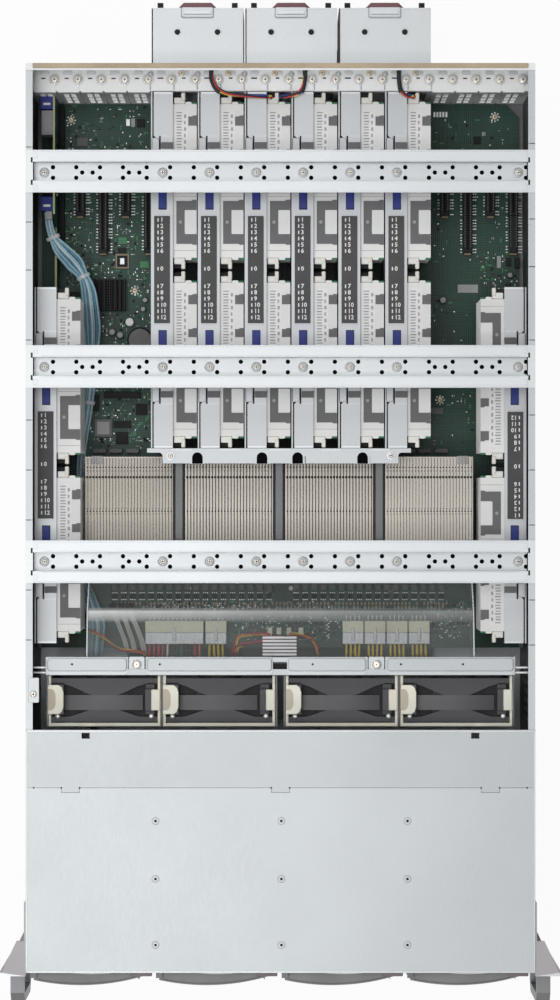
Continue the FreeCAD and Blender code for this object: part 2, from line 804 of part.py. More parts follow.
def blade_section(length):
    """Blade section, slanted and bowed, clear of both ends of the hub."""
    reach = 9.5
    thickness = 2.4
    clear = 2
    bow = 3
    middle = length / 2
    return [(-reach, clear), (thickness - reach, clear), (bow + thickness / 2, middle),
            (reach, length - clear), (reach - thickness, length - clear), (bow - thickness / 2, middle)]


def make_fans():
    """Four fan modules that lift out of the fan row."""
    start = FAN_FRONT + 4
    for index, centre in enumerate(FAN_CENTRES, start=1):
        node(fan_carrier(centre), f"fan_carrier_{index}")
        node(fan_frame(centre, start, FAN_AXIS, FAN_SIZE, FAN_BORE, d.fan_depth), f"fan_housing_{index}")
        node(fan_rotor(centre, start, FAN_AXIS, FAN_BORE, d.fan_depth), f"fan_rotor_{index}")


def make_rear_fans():
    """Three fan boxes in the step of the rear wall, each with a grip, a latch and two corner pegs."""
    start = SLOT_WALL + d.fit_gap
    end = REAR + d.rear_box_depth
    tip = REAR + d.rear_reach
    top = REAR_BOX_TOP
    axis = REAR_BOX_FLOOR + REAR_BOX_HEIGHT / 2
    half = REAR_BOX_WIDTH / 2
    plate = end - d.motor_plate
    reach = REAR_FAN_BORE + d.wall
    strut = 2.5
    grip = d.rear_grip_width / 2
    peg = 5
    for number in range(3):
        centre = rear_box_centre(number)
        bore = faceted_bar((centre, start - 1, axis), REAR_FAN_BORE, end - start + 2, BORE_SIDES, TURN_TO_Y)
        shell = cut(between((centre - half, start, REAR_BOX_FLOOR), (centre + half, end, top)), [bore])
        latch = [(centre - 17, end), (centre + 17, end), (centre + 12, tip), (centre - 12, tip)]
        parts = [
            shell,
            faceted_bar((centre, plate, axis), d.hub_radius, d.motor_plate, HUB_SIDES, TURN_TO_Y),
            between((centre - reach, plate, axis - strut), (centre + reach, end, axis + strut)),
            between((centre - strut, plate, axis - reach), (centre + strut, end, axis + reach)),
            between((centre - grip, end - d.rear_grip_depth, top), (centre + grip, end, top + d.wall)),
            prism("XY", latch, top - 9, 5),
        ]
        for left in (centre - half + peg, centre + half - 2 * peg):
            parts.append(between((left, end, top - 2 * peg), (left + peg, end + peg, top - peg)))
        bearing = cylinder((centre, plate - 1, axis), d.shaft_radius + d.shaft_gap, d.motor_plate, TURN_TO_Y)
        node(cut(union(parts), [bearing]), f"rear_fan_housing_{number + 1}")
        rotor = fan_rotor(centre, end - d.fan_depth, axis, REAR_FAN_BORE, d.fan_depth)
        node(rotor, f"rear_fan_rotor_{number + 1}")


# Power

def make_power_supplies():
    """Four slide-in power supplies: box, power inlet, air opening and pull handle."""
    handle_reach = REAR + d.psu_handle_reach
    for index in range(4):
        left = PSU_PITCH * (index - 2) + d.wall / 2 + d.fit_gap
        right = left + d.psu_width
        top = PSU_FLOOR + d.psu_height
        box = between((left, REAR - d.psu_depth, PSU_FLOOR), (right, REAR, top))
        inlet = between((right - 30, REAR - 15, PSU_FLOOR + 3), (right - 3, REAR + 1, PSU_FLOOR + 22))
        vent = faceted_bar((left + 17, REAR - 12, PSU_FLOOR + d.psu_height / 2), 13, 13, HUB_SIDES, TURN_TO_Y)
        pins = []
        for pin in range(3):
            pin_left = right - 23 + 6 * pin
            pins.append(between((pin_left, REAR - 16, PSU_FLOOR + 9),
                                (pin_left + 2, REAR - 5, PSU_FLOOR + 15)))
        outer = [(REAR, top - 14), (handle_reach, top - 14), (handle_reach, top - 2), (REAR, top - 2)]
        handle = cut(prism("YZ", outer, right - 28, 24),
                     [between((right - 25, REAR, top - 15), (right - 7, handle_reach - 3, top))])
        node(union([cut(box, [inlet, vent])] + pins + [handle]), f"psu_{index + 1}")


CONNECTOR_ROW = [(-94.4, 51), (-57.4, 18), (64.6, 18), (84.2, 18), (103.8, 18), (123.4, 18)]


def make_power_board():
    """Power distribution board on posts, with a header under each bundle of wires."""
    level = d.power_board_level
    start = BOARD_FRONT - 15
    end = REAR - d.psu_depth - 2
    side = d.power_board_side
    parts = [between((-side, start, level), (side, end, level + d.board_thickness))]
    for across in (-side, side - 8):
        for along in (start, end - 8):
            parts.append(between((across, along, d.wall), (across + 8, along + 8, level)))
    for centre, width in CONNECTOR_ROW:
        parts.append(between((centre - width / 2, BOARD_FRONT - 12, level),
                             (centre + width / 2, BOARD_FRONT - 4, level + d.power_header)))
    for index in range(4):
        left = PSU_PITCH * (index - 2) + d.wall / 2 + d.fit_gap + 10
        parts.append(between((left, end - 12, level),
                             (left + 34, REAR - d.psu_depth - d.fit_gap, level + d.power_header)))
    node(union(parts), "power_distribution_board")


def ribbon(centre, width):
    """Flat bundle of wires from a board connector over the board's front edge and down."""
    height = BOARD.value + 9
    start = BOARD_FRONT.value + 4
    down = BOARD_FRONT.value - 8
    bottom = (d.power_board_level + d.power_header + d.fit_gap).value
    radius = d.ribbon_bend.value
    half = d.ribbon_thickness.value / 2
    turn = math.sqrt(0.5)

    def side(offset):
        corner = VECTOR(0, down + radius, height - radius)
        reach = radius + offset
        return [VECTOR(0, start, height + offset), VECTOR(0, down + radius, height + offset),
                corner + VECTOR(0, -reach * turn, reach * turn), VECTOR(0, down - offset, height - radius),
                VECTOR(0, down - offset, bottom)]

    over = side(half)
    under = side(-half)
    edges = [Part.LineSegment(over[0], over[1]).toShape(), Part.Arc(over[1], over[2], over[3]).toShape(),
             Part.LineSegment(over[3], over[4]).toShape(), Part.LineSegment(over[4], under[4]).toShape(),
             Part.LineSegment(under[4], under[3]).toShape(), Part.Arc(under[3], under[2], under[1]).toShape(),
             Part.LineSegment(under[1], under[0]).toShape(), Part.LineSegment(under[0], over[0]).toShape()]
    item = doc.addObject("Part::Feature", "ribbon")
    item.Shape = Part.Face(Part.Wire(edges)).extrude(VECTOR(width, 0, 0))
    item.Placement.Base = VECTOR(centre - width / 2, 0, 0)
    return item


# Cables held along their whole route

# Loom over the board: distance from the left wall, share of the way to the front, height over the board
LOOM_RUN = [(12.9, 0.0, 54), (13.7, 0.052, 53.6), (22, 0.107, 52), (36, 0.151, 47),
            (47, 0.21, 37), (49, 0.286, 27), (50, 0.368, 17), (48, 0.464, 8),
            (46, 0.588, 4.1), (39, 0.726, 4.0), (38, 0.863, 4.3), (38.6, 1.0, 4.1)]


def loom_route():
    """Route of the SAS loom: from the card along the board's left edge, and under the fans to the backplane."""
    left = -INNER.value
    rear = CARD_HEADER.value - d.fit_gap.value
    board = BOARD.value
    across = LOOM_ACROSS.value
    brink = BOARD_FRONT.value
    span = rear - brink - d.loom_front_run.value
    drop = brink - 10.2
    low = 19
    header = (FRONT + d.cage_depth + d.fit_gap + d.backplane_thickness + LOOM_HEADER + d.fit_gap).value
    middle = (FAN_FRONT.value + FAN_REAR.value) / 2
    route = [(left + offset, rear - span * share, board + height) for offset, share, height in LOOM_RUN]
    return route + [(left + 39, brink + 66, board + 5.1), (left + 45, brink + 36, board + 13),
                    (across, drop, board + 16.4), (across, drop - 0.4, low), (across, middle - 14, low - 0.4),
                    (across - 0.6, header, low + 0.4)]


def tube(route, diameter, name):
    """A cord of straight runs joined by tangent arcs, each as large as its two runs allow."""
    points = [VECTOR(*point) for point in route]
    edges = []
    radii = []
    start = points[0]
    for before, corner, after in zip(points, points[1:], points[2:]):
        into = (corner - before).normalize()
        out = (after - corner).normalize()
        half_turn = into.getAngle(out) / 2
        tangent = 0.45 * min((corner - before).Length, (after - corner).Length)
        radius = tangent / math.tan(half_turn)
        radii.append(radius)
        first = corner - into * tangent
        last = corner + out * tangent
        inward = (out - into).normalize()
        middle = corner + inward * (radius / math.cos(half_turn) - radius)
        edges.append(Part.LineSegment(start, first).toShape())
        edges.append(Part.Arc(first, middle, last).toShape())
        start = last
    edges.append(Part.LineSegment(start, points[-1]).toShape())
    path = Part.Wire(edges)
    ring = Part.Circle(points[0], points[1] - points[0], diameter / 2).toShape()
    section = Part.Face(Part.makePolygon(ring.discretize(CORD_SIDES + 1)))
    item = doc.addObject("Part::Feature", name)
    item.Shape = path.makePipe(section)
    ideal = section.Area * path.Length
    print(name, "length", round(path.Length, 1), "volume share", round(item.Shape.Volume / ideal, 4),
          "radii", [round(radius, 1) for radius in radii])
    return item


def lead_route(number):
    """Route of a rear fan's lead: through the upper wall, along the flange, and down to the board."""
    across = rear_box_centre(number).value + LEAD_OFFSET
    run = LEAD_RUNS[number]
    bend = math.copysign(2.6, run)
    height = (FLANGE + 2 * d.lead_diameter).value
    panel = REAR.value
    down = MODULE_REAR.value - 4.6
    low = (BOARD + d.fit_gap).value
    end = across + run
    return [(across, panel, height), (across, panel - 11, height - 0.2),
            (across + 0.15 * run, down + 3.2, height), (across + 0.5 * run, down + 0.6, height - 0.3),
            (end - bend, down + 0.1, height - 1), (end - 0.2 * bend, down, height - 9),
            (end, down + 0.2, height - 22), (end + 0.4, down, height - 42),
            (end, down + 0.2, (height - 42 + low) / 2), (end + 0.3, down + 0.1, low)]


def make_cables():
    """The SAS loom, and the power wires with the rear fans' leads."""
    node(group([tube(loom_route(), d.loom_diameter.value, "loom")]), "sas_cable_loom")
    wires = [ribbon(centre, width - 2) for centre, width in CONNECTOR_ROW]
    wires += [tube(lead_route(number), d.lead_diameter.value, "lead") for number in range(3)]
    node(group(wires), "internal_wiring")


# Board and what stands on it

def make_board_tray():
    """Tray over the power supplies, with their dividers below it and the board's standoffs on it."""
    side = INNER - d.fit_gap
    start = BOARD_FRONT
    end = SLOT_FACE
    parts = [between((-side, start, d.tray_height), (side, end, d.tray_height + d.wall))]
    for index in range(5):
        middle = PSU_PITCH * (index - 2)
        parts.append(between((middle - d.wall / 2, REAR - d.psu_depth, d.wall),
                             (middle + d.wall / 2, end, d.tray_height)))
    for edge in (-side, side - d.wall):
        parts.append(between((edge, start, d.wall), (edge + d.wall, end, d.tray_height)))
    for column in range(4):
        for row in range(4):
            across = 2 * BOARD_HALF * (column - 1.5) / 3.3
            along = BOARD_FRONT + BOARD_LENGTH * (0.08 + 0.28 * row)
            parts.append(faceted_bar((across, along, d.tray_height + d.wall), 3.5, d.standoff))
    node(union(parts), "board_tray")


def make_motherboard():
    """The main board, with its rear corners cut."""
    half = BOARD_HALF
    low = BOARD - d.board_thickness
    corner = 12
    shape = [(-half, BOARD_FRONT), (half, BOARD_FRONT), (half, BOARD_REAR - corner),
             (half - corner, BOARD_REAR), (corner - half, BOARD_REAR), (-half, BOARD_REAR - corner)]
    node(prism("XY", shape, low, d.board_thickness), "motherboard")


SLOT_LENGTHS = {1: "short", 2: "long", 3: "short", 4: "long",
                17: "short", 18: "long", 19: "short", 20: "short"}
CARD_OFFSET = 5.2


def module_places():
    """Corner and turn of each memory module: six in a row, and one beside each side wall."""
    places = []
    for index in range(CENTRAL_MODULES):
        across = d.module_shift + 2 * SLOT_PITCH * (index - CENTRAL_MODULES / 2)
        places.append(((across, MODULE_MIDDLE, 0), None))
    side = INNER - d.side_module_gap
    along = MODULE_MIDDLE - d.side_module_setback
    places.append(((-side, along, 0), None))
    places.append(((side, along, 0), HALF_TURN))
    return places


def make_board_connectors():
    """Expansion slots, memory module slots, power connectors and processor sockets."""
    end = REAR - d.slot_setback
    parts = []
    half = d.slot_connector_width / 2
    for number, kind in SLOT_LENGTHS.items():
        length = {"short": d.short_slot, "long": d.long_slot}[kind]
        centre = slot_centre(number) + CARD_OFFSET
        top = BOARD + d.slot_connector_height
        body = between((centre - half, end - length, BOARD), (centre + half, end, top))
        groove = between((centre - 1, end - length + 3, top - 7), (centre + 1, end - 3, top + 1))
        parts.append(cut(body, [groove]))
    reach = d.module_length / 3
    middle = RISER_FACE + d.riser_thickness / 2
    module_slot = between((middle - half, -reach, BOARD), (middle + half, reach, BOARD + d.module_socket))
    parts += [copy_of(module_slot, corner, turn) for corner, turn in module_places()]
    for centre, width in CONNECTOR_ROW:
        parts.append(between((centre - width / 2, BOARD_FRONT + 4 + d.fit_gap, BOARD),
                             (centre + width / 2, BOARD_FRONT + 24, BOARD + 13)))
    for index in range(4):
        centre = sink_centre(index)
        middle = SINK_REAR - d.sink_length / 2
        half_side = d.socket_side / 2
        parts.append(between((centre - half_side, middle - half_side, BOARD),
                             (centre + half_side, middle + half_side, SINK_FLOOR)))
    node(group(parts), "board_connectors")


def sink_centre(index):
    """Middle of a processor heatsink."""
    return SINK_PITCH * (index - 1.5) + d.sink_shift


def finned_block(width, length, base, height, thickness, fins):
    """A heatsink: base plate with one fin, repeated across its width."""
    body = doc.addObject("PartDesign::Body", "heatsink")
    half = width / 2
    plate = [(-half, 0), (half, 0), (half, length), (-half, length)]
    pad(body, outline(body, "XY", plate), base)
    fin = [(-half, 0), (thickness - half, 0), (thickness - half, length), (-half, length)]
    first = pad(body, outline(body, "XY", fin, base), height - base)
    pattern = body.newObject("PartDesign::LinearPattern", "fins")
    pattern.Originals = [first]
    pattern.Direction = (origin_feature(body, "X_Axis"), [""])
    bind(pattern, "Length", width - thickness)
    pattern.Occurrences = fins
    body.Tip = pattern
    return body


CHIPSET_SHARE = -0.7


def make_heatsinks():
    """Four processor heatsinks with fins along the air flow, and the small one of the chipset."""
    sink = finned_block(SINK_WIDTH, d.sink_length, d.sink_base, d.sink_height, d.fin_thickness, FINS)
    start = SINK_REAR - d.sink_length
    parts = [copy_of(sink, (sink_centre(index), start, SINK_FLOOR)) for index in range(4)]
    chip_side = as_size(28)
    chip = finned_block(chip_side, chip_side, as_size(3), as_size(11), as_size(1.4), 7)
    parts.append(copy_of(chip, (CHIPSET_SHARE * INNER, MODULE_MIDDLE - 1.1 * chip_side, BOARD)))
    node(group(parts), "heatsinks")


def make_air_guides():
    """Dark baffles between the heatsinks, and the clear shroud from them up to the fan bar."""
    gap = SINK_PITCH - SINK_WIDTH
    half = gap / 2 - d.fit_gap
    top = SINK_TOP + 2
    start = SINK_REAR - d.sink_length
    strips = []
    for index in range(3):
        centre = sink_centre(index) + SINK_PITCH / 2
        section = [(centre - half, BOARD), (centre + half, BOARD), (centre + half, top - 3),
                   (centre + half - 2, top), (centre - half + 2, top), (centre - half, top - 3)]
        strips.append(prism("XZ", section, start, d.sink_length))
    node(group(strips), "air_baffle")

    sheet_thickness = 1.2
    lip = start + 8
    bend = start - 25
    front = FAN_BAR_REAR - 6
    low = top + d.fit_gap
    crest = FAN_BAR_TOP - d.shroud_drop
    rim = FAN_BAR_TOP - d.wall - d.fit_gap - sheet_thickness
    under = [(lip, low), (start, low), (bend, crest), (front, rim)]
    over = [(along, height + sheet_thickness) for along, height in reversed(under)]
    side = 1.5 * SINK_PITCH + SINK_WIDTH / 2 - 1.9
    roof = prism("YZ", under + over, -side, 2 * side)
    skirt = [(start, low), (bend, crest), (front, rim), (front, low - 18), (start, low - 18)]
    skirts = [prism("YZ", skirt, edge, sheet_thickness) for edge in (-side, side - sheet_thickness)]
    node(union([roof] + skirts), "air_shroud")


def make_guide_plate():
    """Notched plate across the front ends of the memory modules, on two posts."""
    left = d.module_shift - SLOT_PITCH * CENTRAL_MODULES - 3.3
    right = d.module_shift + SLOT_PITCH * (CENTRAL_MODULES - 1) + 2
    rear = MODULE_REAR - d.module_length - d.fit_gap
    front = rear - 13
    top = FLANGE
    plate = between((left, front, top - d.wall), (right, rear, top))
    notches = []
    for share in (-3.54, -0.79, 0.79, 3.54):
        centre = SLOT_PITCH * share
        notches.append(between((centre - 6, front - 1, top - 2 * d.wall),
                               (centre + 6, front + 6, top + d.wall)))
    apron = between((left, rear - d.wall, top - d.guide_apron), (right, rear, top))
    posts = []
    for index in (0, 2):
        centre = sink_centre(index) + SINK_PITCH / 2
        posts.append(between((centre - 3, rear - 5, BOARD), (centre + 3, rear, top - d.wall)))
    node(union([cut(plate, notches), apron] + posts), "module_guide_plate")


def slot_cover():
    """Bent slot cover with two columns of vents, its tab lying on the slot flange."""
    sheet_thickness = d.slot_cover_sheet
    inside = SLOT_FACE - sheet_thickness
    tab = BACK - 5
    low = BOARD + 2
    section = [(inside, low), (SLOT_FACE, low), (SLOT_FACE, FLANGE), (tab, FLANGE),
               (tab, FLANGE + sheet_thickness), (inside, FLANGE + sheet_thickness)]
    plate = prism("YZ", section, -SLOT_COVER_WIDTH / 2, SLOT_COVER_WIDTH)
    vent_width = 4.4
    vent_height = (FLANGE - BOARD) / 3 - 10
    vents = []
    for column in (-1, 1):
        for row in range(3):
            left = 3.1 * column - vent_width / 2
            floor = BOARD + d.slot_vent_base + (vent_height + 3) * row
            vents.append(between((left, inside - 1, floor),
                                 (left + vent_width, SLOT_FACE + 1, floor + vent_height)))
    return cut(plate, vents)


def make_slot_covers():
    """A cover in each free slot."""
    plate = slot_cover()
    free_slots = FIRST_SLOT_COVERS + LAST_SLOT_COVERS
    covers = [copy_of(plate, (slot_centre(number), 0, 0)) for number in free_slots]
    node(group(covers), "slot_covers")


CARD_REAR = SLOT_FACE - d.slot_cover_sheet - d.fit_gap
CARD_HEADER = CARD_REAR - d.card_header_setback


def make_io_card():
    """Upright card in the leftmost slot: high at the rear, low at the front, with its connectors."""
    face = slot_centre(0) + CARD_OFFSET
    low = BOARD + d.fit_gap
    step = CARD_HEADER - 3
    top = low + d.card_height
    bench = low + d.card_low_height
    end = CARD_REAR - d.card_length
    side = face - d.card_connector
    depth = d.card_connector
    shape = [(CARD_REAR, low), (CARD_REAR, top), (step, top), (step - 9, bench), (end, bench), (end, low)]
    parts = [
        prism("YZ", shape, face, d.board_thickness),
        between((side, CARD_REAR - depth, bench - 2), (face, CARD_REAR, top - 2)),
        between((side + 1, CARD_REAR - 3 * depth, bench - 6), (face, CARD_REAR - depth - 1, top - 4)),
        between((side, CARD_HEADER, bench + 5), (face, CARD_HEADER + depth + 1, top - 4)),
    ]
    node(union(parts), "io_card")


# Memory modules

def riser_board():
    """Upright board of a memory module, with a row of stick sockets at each level."""
    left = RISER_FACE
    right = left + d.riser_thickness
    half = d.module_length / 2 - 4
    parts = [between((left, -half, MODULE_BASE), (right, half, FLANGE - 3))]
    socket_end = MODULE_WIDTH - d.stick_width - 2 * d.fit_gap
    for level in range(STICK_LEVELS):
        low = stick_floor(level) - 1
        parts.append(between((right, 3 - half, low), (socket_end, half - 3, low + d.stick_thickness + 2)))
    return union(parts)


def stick_floor(level):
    """Underside of the memory sticks at a level."""
    return MODULE_BASE + d.stick_base + STICK_PITCH * level


def memory_sticks():
    """Two sticks end to end at each of six levels."""
    left = MODULE_WIDTH - d.stick_width - d.fit_gap
    right = MODULE_WIDTH - d.fit_gap
    inner = d.stick_split / 2
    outer = inner + STICK_LENGTH
    parts = []
    for level in range(STICK_LEVELS):
        low = stick_floor(level)
        for start, end in ((-outer, -inner), (inner, outer)):
            parts.append(between((left, start, low), (right, end, low + d.stick_thickness)))
    return parts


def module_cover():
    """Angle-shaped cover of a memory module with a raised bed for the number plate."""
    half = MODULE_COVER_LENGTH / 2
    side = d.module_length / 2
    roof = between((0, -half, FLANGE - d.wall), (d.module_cover_width, half, FLANGE))
    bed = between((2.6, -47, FLANGE), (16.6, 47, FLANGE + 0.8))
    wall = between((0, -side, MODULE_BASE), (d.wall, side, FLANGE))
    return union([roof, bed, wall])


def module_lever():
    """Lever plate at one end of a module: broad end turned down over the end, and a narrow tongue."""
    outer = d.module_length / 2
    inner = outer - d.module_lever_length
    tip = MODULE_COVER_LENGTH / 2 + d.fit_gap
    left = 2 * d.wall
    right = d.module_cover_width
    narrow = right - d.module_tongue
    shape = [(left, outer), (left, inner), (narrow, inner - 4), (narrow, tip), (right, tip), (right, outer)]
    plate = prism("XY", shape, FLANGE - d.wall, d.wall)
    apron = between((left, outer - d.wall, FLANGE - 30), (right, outer, FLANGE))
    return union([plate, apron])


def module_latch():
    """Blue release latch on the module's cover."""
    start = 53
    end = 80
    high = FLANGE + 2.4
    shape = [(start, FLANGE), (end, FLANGE), (end, high - 1), (start + 4, high), (start, high)]
    return prism("YZ", shape, 7, 6.2)


def make_memory():
    """The pieces of the eight memory modules, each kind in its own node."""
    cover = module_cover()
    riser = riser_board()
    stick_set = memory_sticks()
    lever = module_lever()
    latch = module_latch()
    front_lever = mirrored_in_y(lever)
    front_latch = mirrored_in_y(latch)
    kinds = {"memory_covers": [cover], "memory_boards": [riser], "memory_sticks": stick_set,
             "memory_levers": [lever, front_lever], "memory_latches": [latch, front_latch]}
    for label, shapes in kinds.items():
        if label == "memory_sticks":
            shapes = [group(shapes)]
        copies = [copy_of(shape, corner, turn) for corner, turn in module_places() for shape in shapes]
        node(group(copies), label)


def mirrored_in_y(item):
    """The same solid at the module's other end."""
    mirror = doc.addObject("Part::Mirroring", "mirrored")
    mirror.Source = item
    mirror.Normal = VECTOR(0, 1, 0)
    return mirror


# Braces, ears and screws

def make_braces():
    """Three folded cross braces: two flat lips beside a sunken channel, with end tabs on the side walls."""
    half = d.brace_width / 2
    inner = d.brace_recess / 2
    thick = d.brace_sheet
    high = LID + thick
    low = high - d.brace_depth
    right = [(inner - thick, low + thick), (inner - thick, high), (half, high), (half, LID), (inner, LID),
             (inner, low)]
    left = [(-along, height) for along, height in reversed(right)]
    length = d.chassis_width - 2 * d.top_flange - 2 * d.fit_gap
    channel = prism("YZ", right + left, -length / 2, length)
    tabs = [between((-HALF, -half, LID), (-length / 2, half, high)),
            between((length / 2, -half, LID), (HALF, half, high))]
    brace = union([channel] + tabs)
    node(group([copy_of(brace, (0, line, 0)) for line in BRACE_LINES]), "cross_braces")


def ear(side):
    """Rack ear: slotted front flange, side plate on the chassis wall and a gusset at top and bottom."""
    edge = HALF + d.ear_reach
    front = FRONT - d.ear_thickness
    foot = 60
    plate = 1.5

    def span(near, far):
        """Keep low and high the right way round on either side."""
        return (near, far) if side > 0 else (-far, -near)

    low_x, high_x = span(HALF, edge)
    flange = between((low_x, front, 0), (high_x, FRONT, LID))
    low_x, high_x = span(HALF, HALF + plate)
    strap = between((low_x, FRONT, 0), (high_x, FRONT + foot, LID))
    gussets = []
    for height in (0, LID - d.ear_thickness):
        shape = [(side * HALF, FRONT), (side * (edge - 2), FRONT), (side * (HALF + 8), FRONT + d.ear_gusset),
                 (side * HALF, FRONT + d.ear_gusset)]
        gussets.append(prism("XY", shape, height, d.ear_thickness))
    slots = []
    radius = d.rack_slot_width / 2
    straight = d.rack_slot_length / 2 - radius
    for row in (-1, 1):
        centre = side * (edge - d.ear_hole_inset)
        height = d.chassis_height / 2 + row * d.rack_hole_height / 2
        ends = [cylinder((centre + straight * way, front - 1, height), radius, d.ear_thickness + 2, TURN_TO_Y)
                for way in (-1, 1)]
        middle = between((centre - straight, front - 1, height - radius),
                         (centre + straight, FRONT + 1, height + radius))
        slots.append(union(ends + [middle]))
    return cut(union([flange, strap] + gussets), slots)


def handle(side):
    """Grab handle: a chamfered bow with a finger gap, standing on the ear's flange."""
    foot = FRONT - d.ear_thickness
    tip = FRONT - d.handle_reach
    low = (d.chassis_height - d.handle_height) / 2
    high = low + d.handle_height
    bevel = 9
    shape = [(foot, low), (foot, high), (tip + bevel, high), (tip, high - bevel), (tip, low + bevel),
             (tip + bevel, low)]
    start = side * (HALF + 10.5) - d.handle_width / 2
    bow = prism("YZ", shape, start, d.handle_width)
    gap = between((start - 1, tip + d.handle_bar, low + d.handle_bar),
                  (start + d.handle_width + 1, foot + 1, high - d.handle_bar))
    return cut(bow, [gap])


def make_ears():
    """Both ears and both handles."""
    node(group([ear(-1), ear(1)]), "rack_ears")
    node(group([handle(-1), handle(1)]), "rack_handles")


def make_screws():
    """Screw heads of the slot flange, the braces, the guide plate and the fan bar."""
    parts = []
    for number in range(SLOTS):
        covered = {number, number + 1} & set(FIRST_SLOT_COVERS + LAST_SLOT_COVERS)
        height = FLANGE + (d.slot_cover_sheet if covered else 0)
        across = slot_centre(number) + SLOT_PITCH / 2 - 2
        parts.append(faceted_bar((across, BACK - d.flange_depth / 2, height), 3.4, 2.2))
    floor = LID + 2 * d.brace_sheet - d.brace_depth
    screw_pitch = 40.3
    for line in BRACE_LINES:
        for step in range(6):
            parts.append(faceted_bar((screw_pitch * (step - 2.5) - 0.6, line, floor), 3.4, 2.0))
    node(group(parts), "screws")


for make in (make_chassis_pan, make_rear_panel, make_covers, make_drive_cage, make_backplane, make_drives,
             make_fan_cage, make_fan_bar, make_fans, make_rear_fans, make_power_supplies, make_power_board,
             make_cables, make_board_tray, make_motherboard, make_board_connectors, make_heatsinks,
             make_air_guides, make_guide_plate, make_slot_covers, make_io_card, make_memory, make_braces,
             make_ears, make_screws):
    make()

doc.recompute()
for item in doc.Objects:
    if {"Invalid", "Error"} & set(item.State):
        raise RuntimeError(f"{item.Name} ({item.Label}) failed: {item.State}")
for item in nodes:
    if item.Shape.isNull() or not item.Shape.isValid():
        raise RuntimeError(f"{item.Label} has no valid shape")

os.makedirs("parts", exist_ok=True)
for item in nodes:
    item.Shape.exportStep(f"parts/{item.Label}.step")
print(len(nodes), "sub-parts,", sum(len(item.Shape.Solids) for item in nodes), "solids")
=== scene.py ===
import itertools
import math
import random

import bmesh
import bpy
from mathutils import Matrix, Vector


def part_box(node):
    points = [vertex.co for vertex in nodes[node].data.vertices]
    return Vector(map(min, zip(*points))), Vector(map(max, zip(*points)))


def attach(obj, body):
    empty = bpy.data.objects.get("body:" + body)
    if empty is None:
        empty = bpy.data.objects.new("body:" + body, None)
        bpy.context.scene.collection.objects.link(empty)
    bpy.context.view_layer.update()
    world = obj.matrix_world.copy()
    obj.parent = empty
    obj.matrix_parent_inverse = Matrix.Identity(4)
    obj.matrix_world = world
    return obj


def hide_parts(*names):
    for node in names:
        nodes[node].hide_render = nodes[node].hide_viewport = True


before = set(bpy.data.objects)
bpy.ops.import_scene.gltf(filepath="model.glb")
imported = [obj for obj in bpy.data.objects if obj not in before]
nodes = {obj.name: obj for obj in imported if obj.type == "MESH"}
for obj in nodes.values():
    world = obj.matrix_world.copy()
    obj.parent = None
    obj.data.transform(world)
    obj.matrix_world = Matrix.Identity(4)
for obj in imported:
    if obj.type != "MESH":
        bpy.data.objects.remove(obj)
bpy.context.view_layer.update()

MM = 0.001
TOP = 177.0
FLANGE = 141.0
BOARD = 49.6
ROOT = "chassis"

# Photograph and camera

MIDDLE_X = 280.45
MIDDLE_Y = 500.0
CAMERA_HEIGHT = 3000.0
FOCAL = 3500.0
CAMERA_Y = 3.0
SENSOR = 36.0
PICTURE_HEIGHT = 1000.0
PICTURE_MIDDLE = 280.0


def spot(across, down, level):
    """Place in millimetres that the photograph shows at a pixel, on a level above the base."""
    size = (CAMERA_HEIGHT + TOP - level) / FOCAL
    return (across - MIDDLE_X) * size, CAMERA_Y + (MIDDLE_Y - down) * size


# Shader nodes

def fill(tree, item, inputs):
    """Set the inputs of a node: sockets are linked, anything else is a value."""
    for key, value in inputs.items():
        if isinstance(value, bpy.types.NodeSocket):
            tree.links.new(value, item.inputs[key])
        else:
            item.inputs[key].default_value = value


def node(tree, kind, inputs, out=0, **settings):
    """A shader node with its inputs and settings; gives one of its outputs."""
    item = tree.nodes.new("ShaderNode" + kind)
    for key, value in settings.items():
        setattr(item, key, value)
    fill(tree, item, inputs)
    return item.outputs[out]


def shader(name):
    """A new material, its node tree, its principled shader and object coordinates."""
    material = bpy.data.materials.new(name)
    material.use_nodes = True
    tree = material.node_tree
    return material, tree, tree.nodes["Principled BSDF"], node(tree, "TexCoord", {}, "Object")


def mapped(tree, coords, scale):
    """Coordinates stretched along each axis."""
    return node(tree, "Mapping", {"Vector": coords, "Scale": scale})


def noise(tree, coords, scale, detail=3.0, rough=0.55):
    """Cloudy noise."""
    inputs = {"Vector": coords, "Scale": scale, "Detail": detail, "Roughness": rough}
    return node(tree, "TexNoise", inputs, "Fac")


def ramp(tree, factor, stops):
    """Colours by a factor."""
    item = tree.nodes.new("ShaderNodeValToRGB")
    while len(item.color_ramp.elements) < len(stops):
        item.color_ramp.elements.new(0.5)
    for element, (place, colour) in zip(item.color_ramp.elements, stops):
        element.position = place
        element.color = (*colour, 1.0)
    tree.links.new(factor, item.inputs["Fac"])
    return item.outputs["Color"]


def spread(tree, factor, low, high, start=0.0, end=1.0):
    """A factor between a start and an end, spread between two values."""
    inputs = {"Value": factor, "From Min": start, "From Max": end, "To Min": low, "To Max": high}
    return node(tree, "MapRange", inputs, "Result")


def times(tree, first, second):
    """Two factors multiplied."""
    return node(tree, "Math", {0: first, 1: second}, operation="MULTIPLY")


def bump(tree, factor, strength, distance=0.0002):
    """Relief from a factor."""
    return node(tree, "Bump", {"Height": factor, "Strength": strength, "Distance": distance}, "Normal")


def layered(tree, share, under, over, target="Material Output"):
    """One shader over another by a share, as the surface."""
    mixed = node(tree, "MixShader", {0: share, 1: under, 2: over})
    tree.links.new(mixed, tree.nodes[target].inputs["Surface"])


def tint(colour, share):
    """A colour made lighter or darker."""
    return tuple(min(1.0, channel * share) for channel in colour)


def grey(share):
    """A plain grey."""
    return (share, share, share)


# Materials

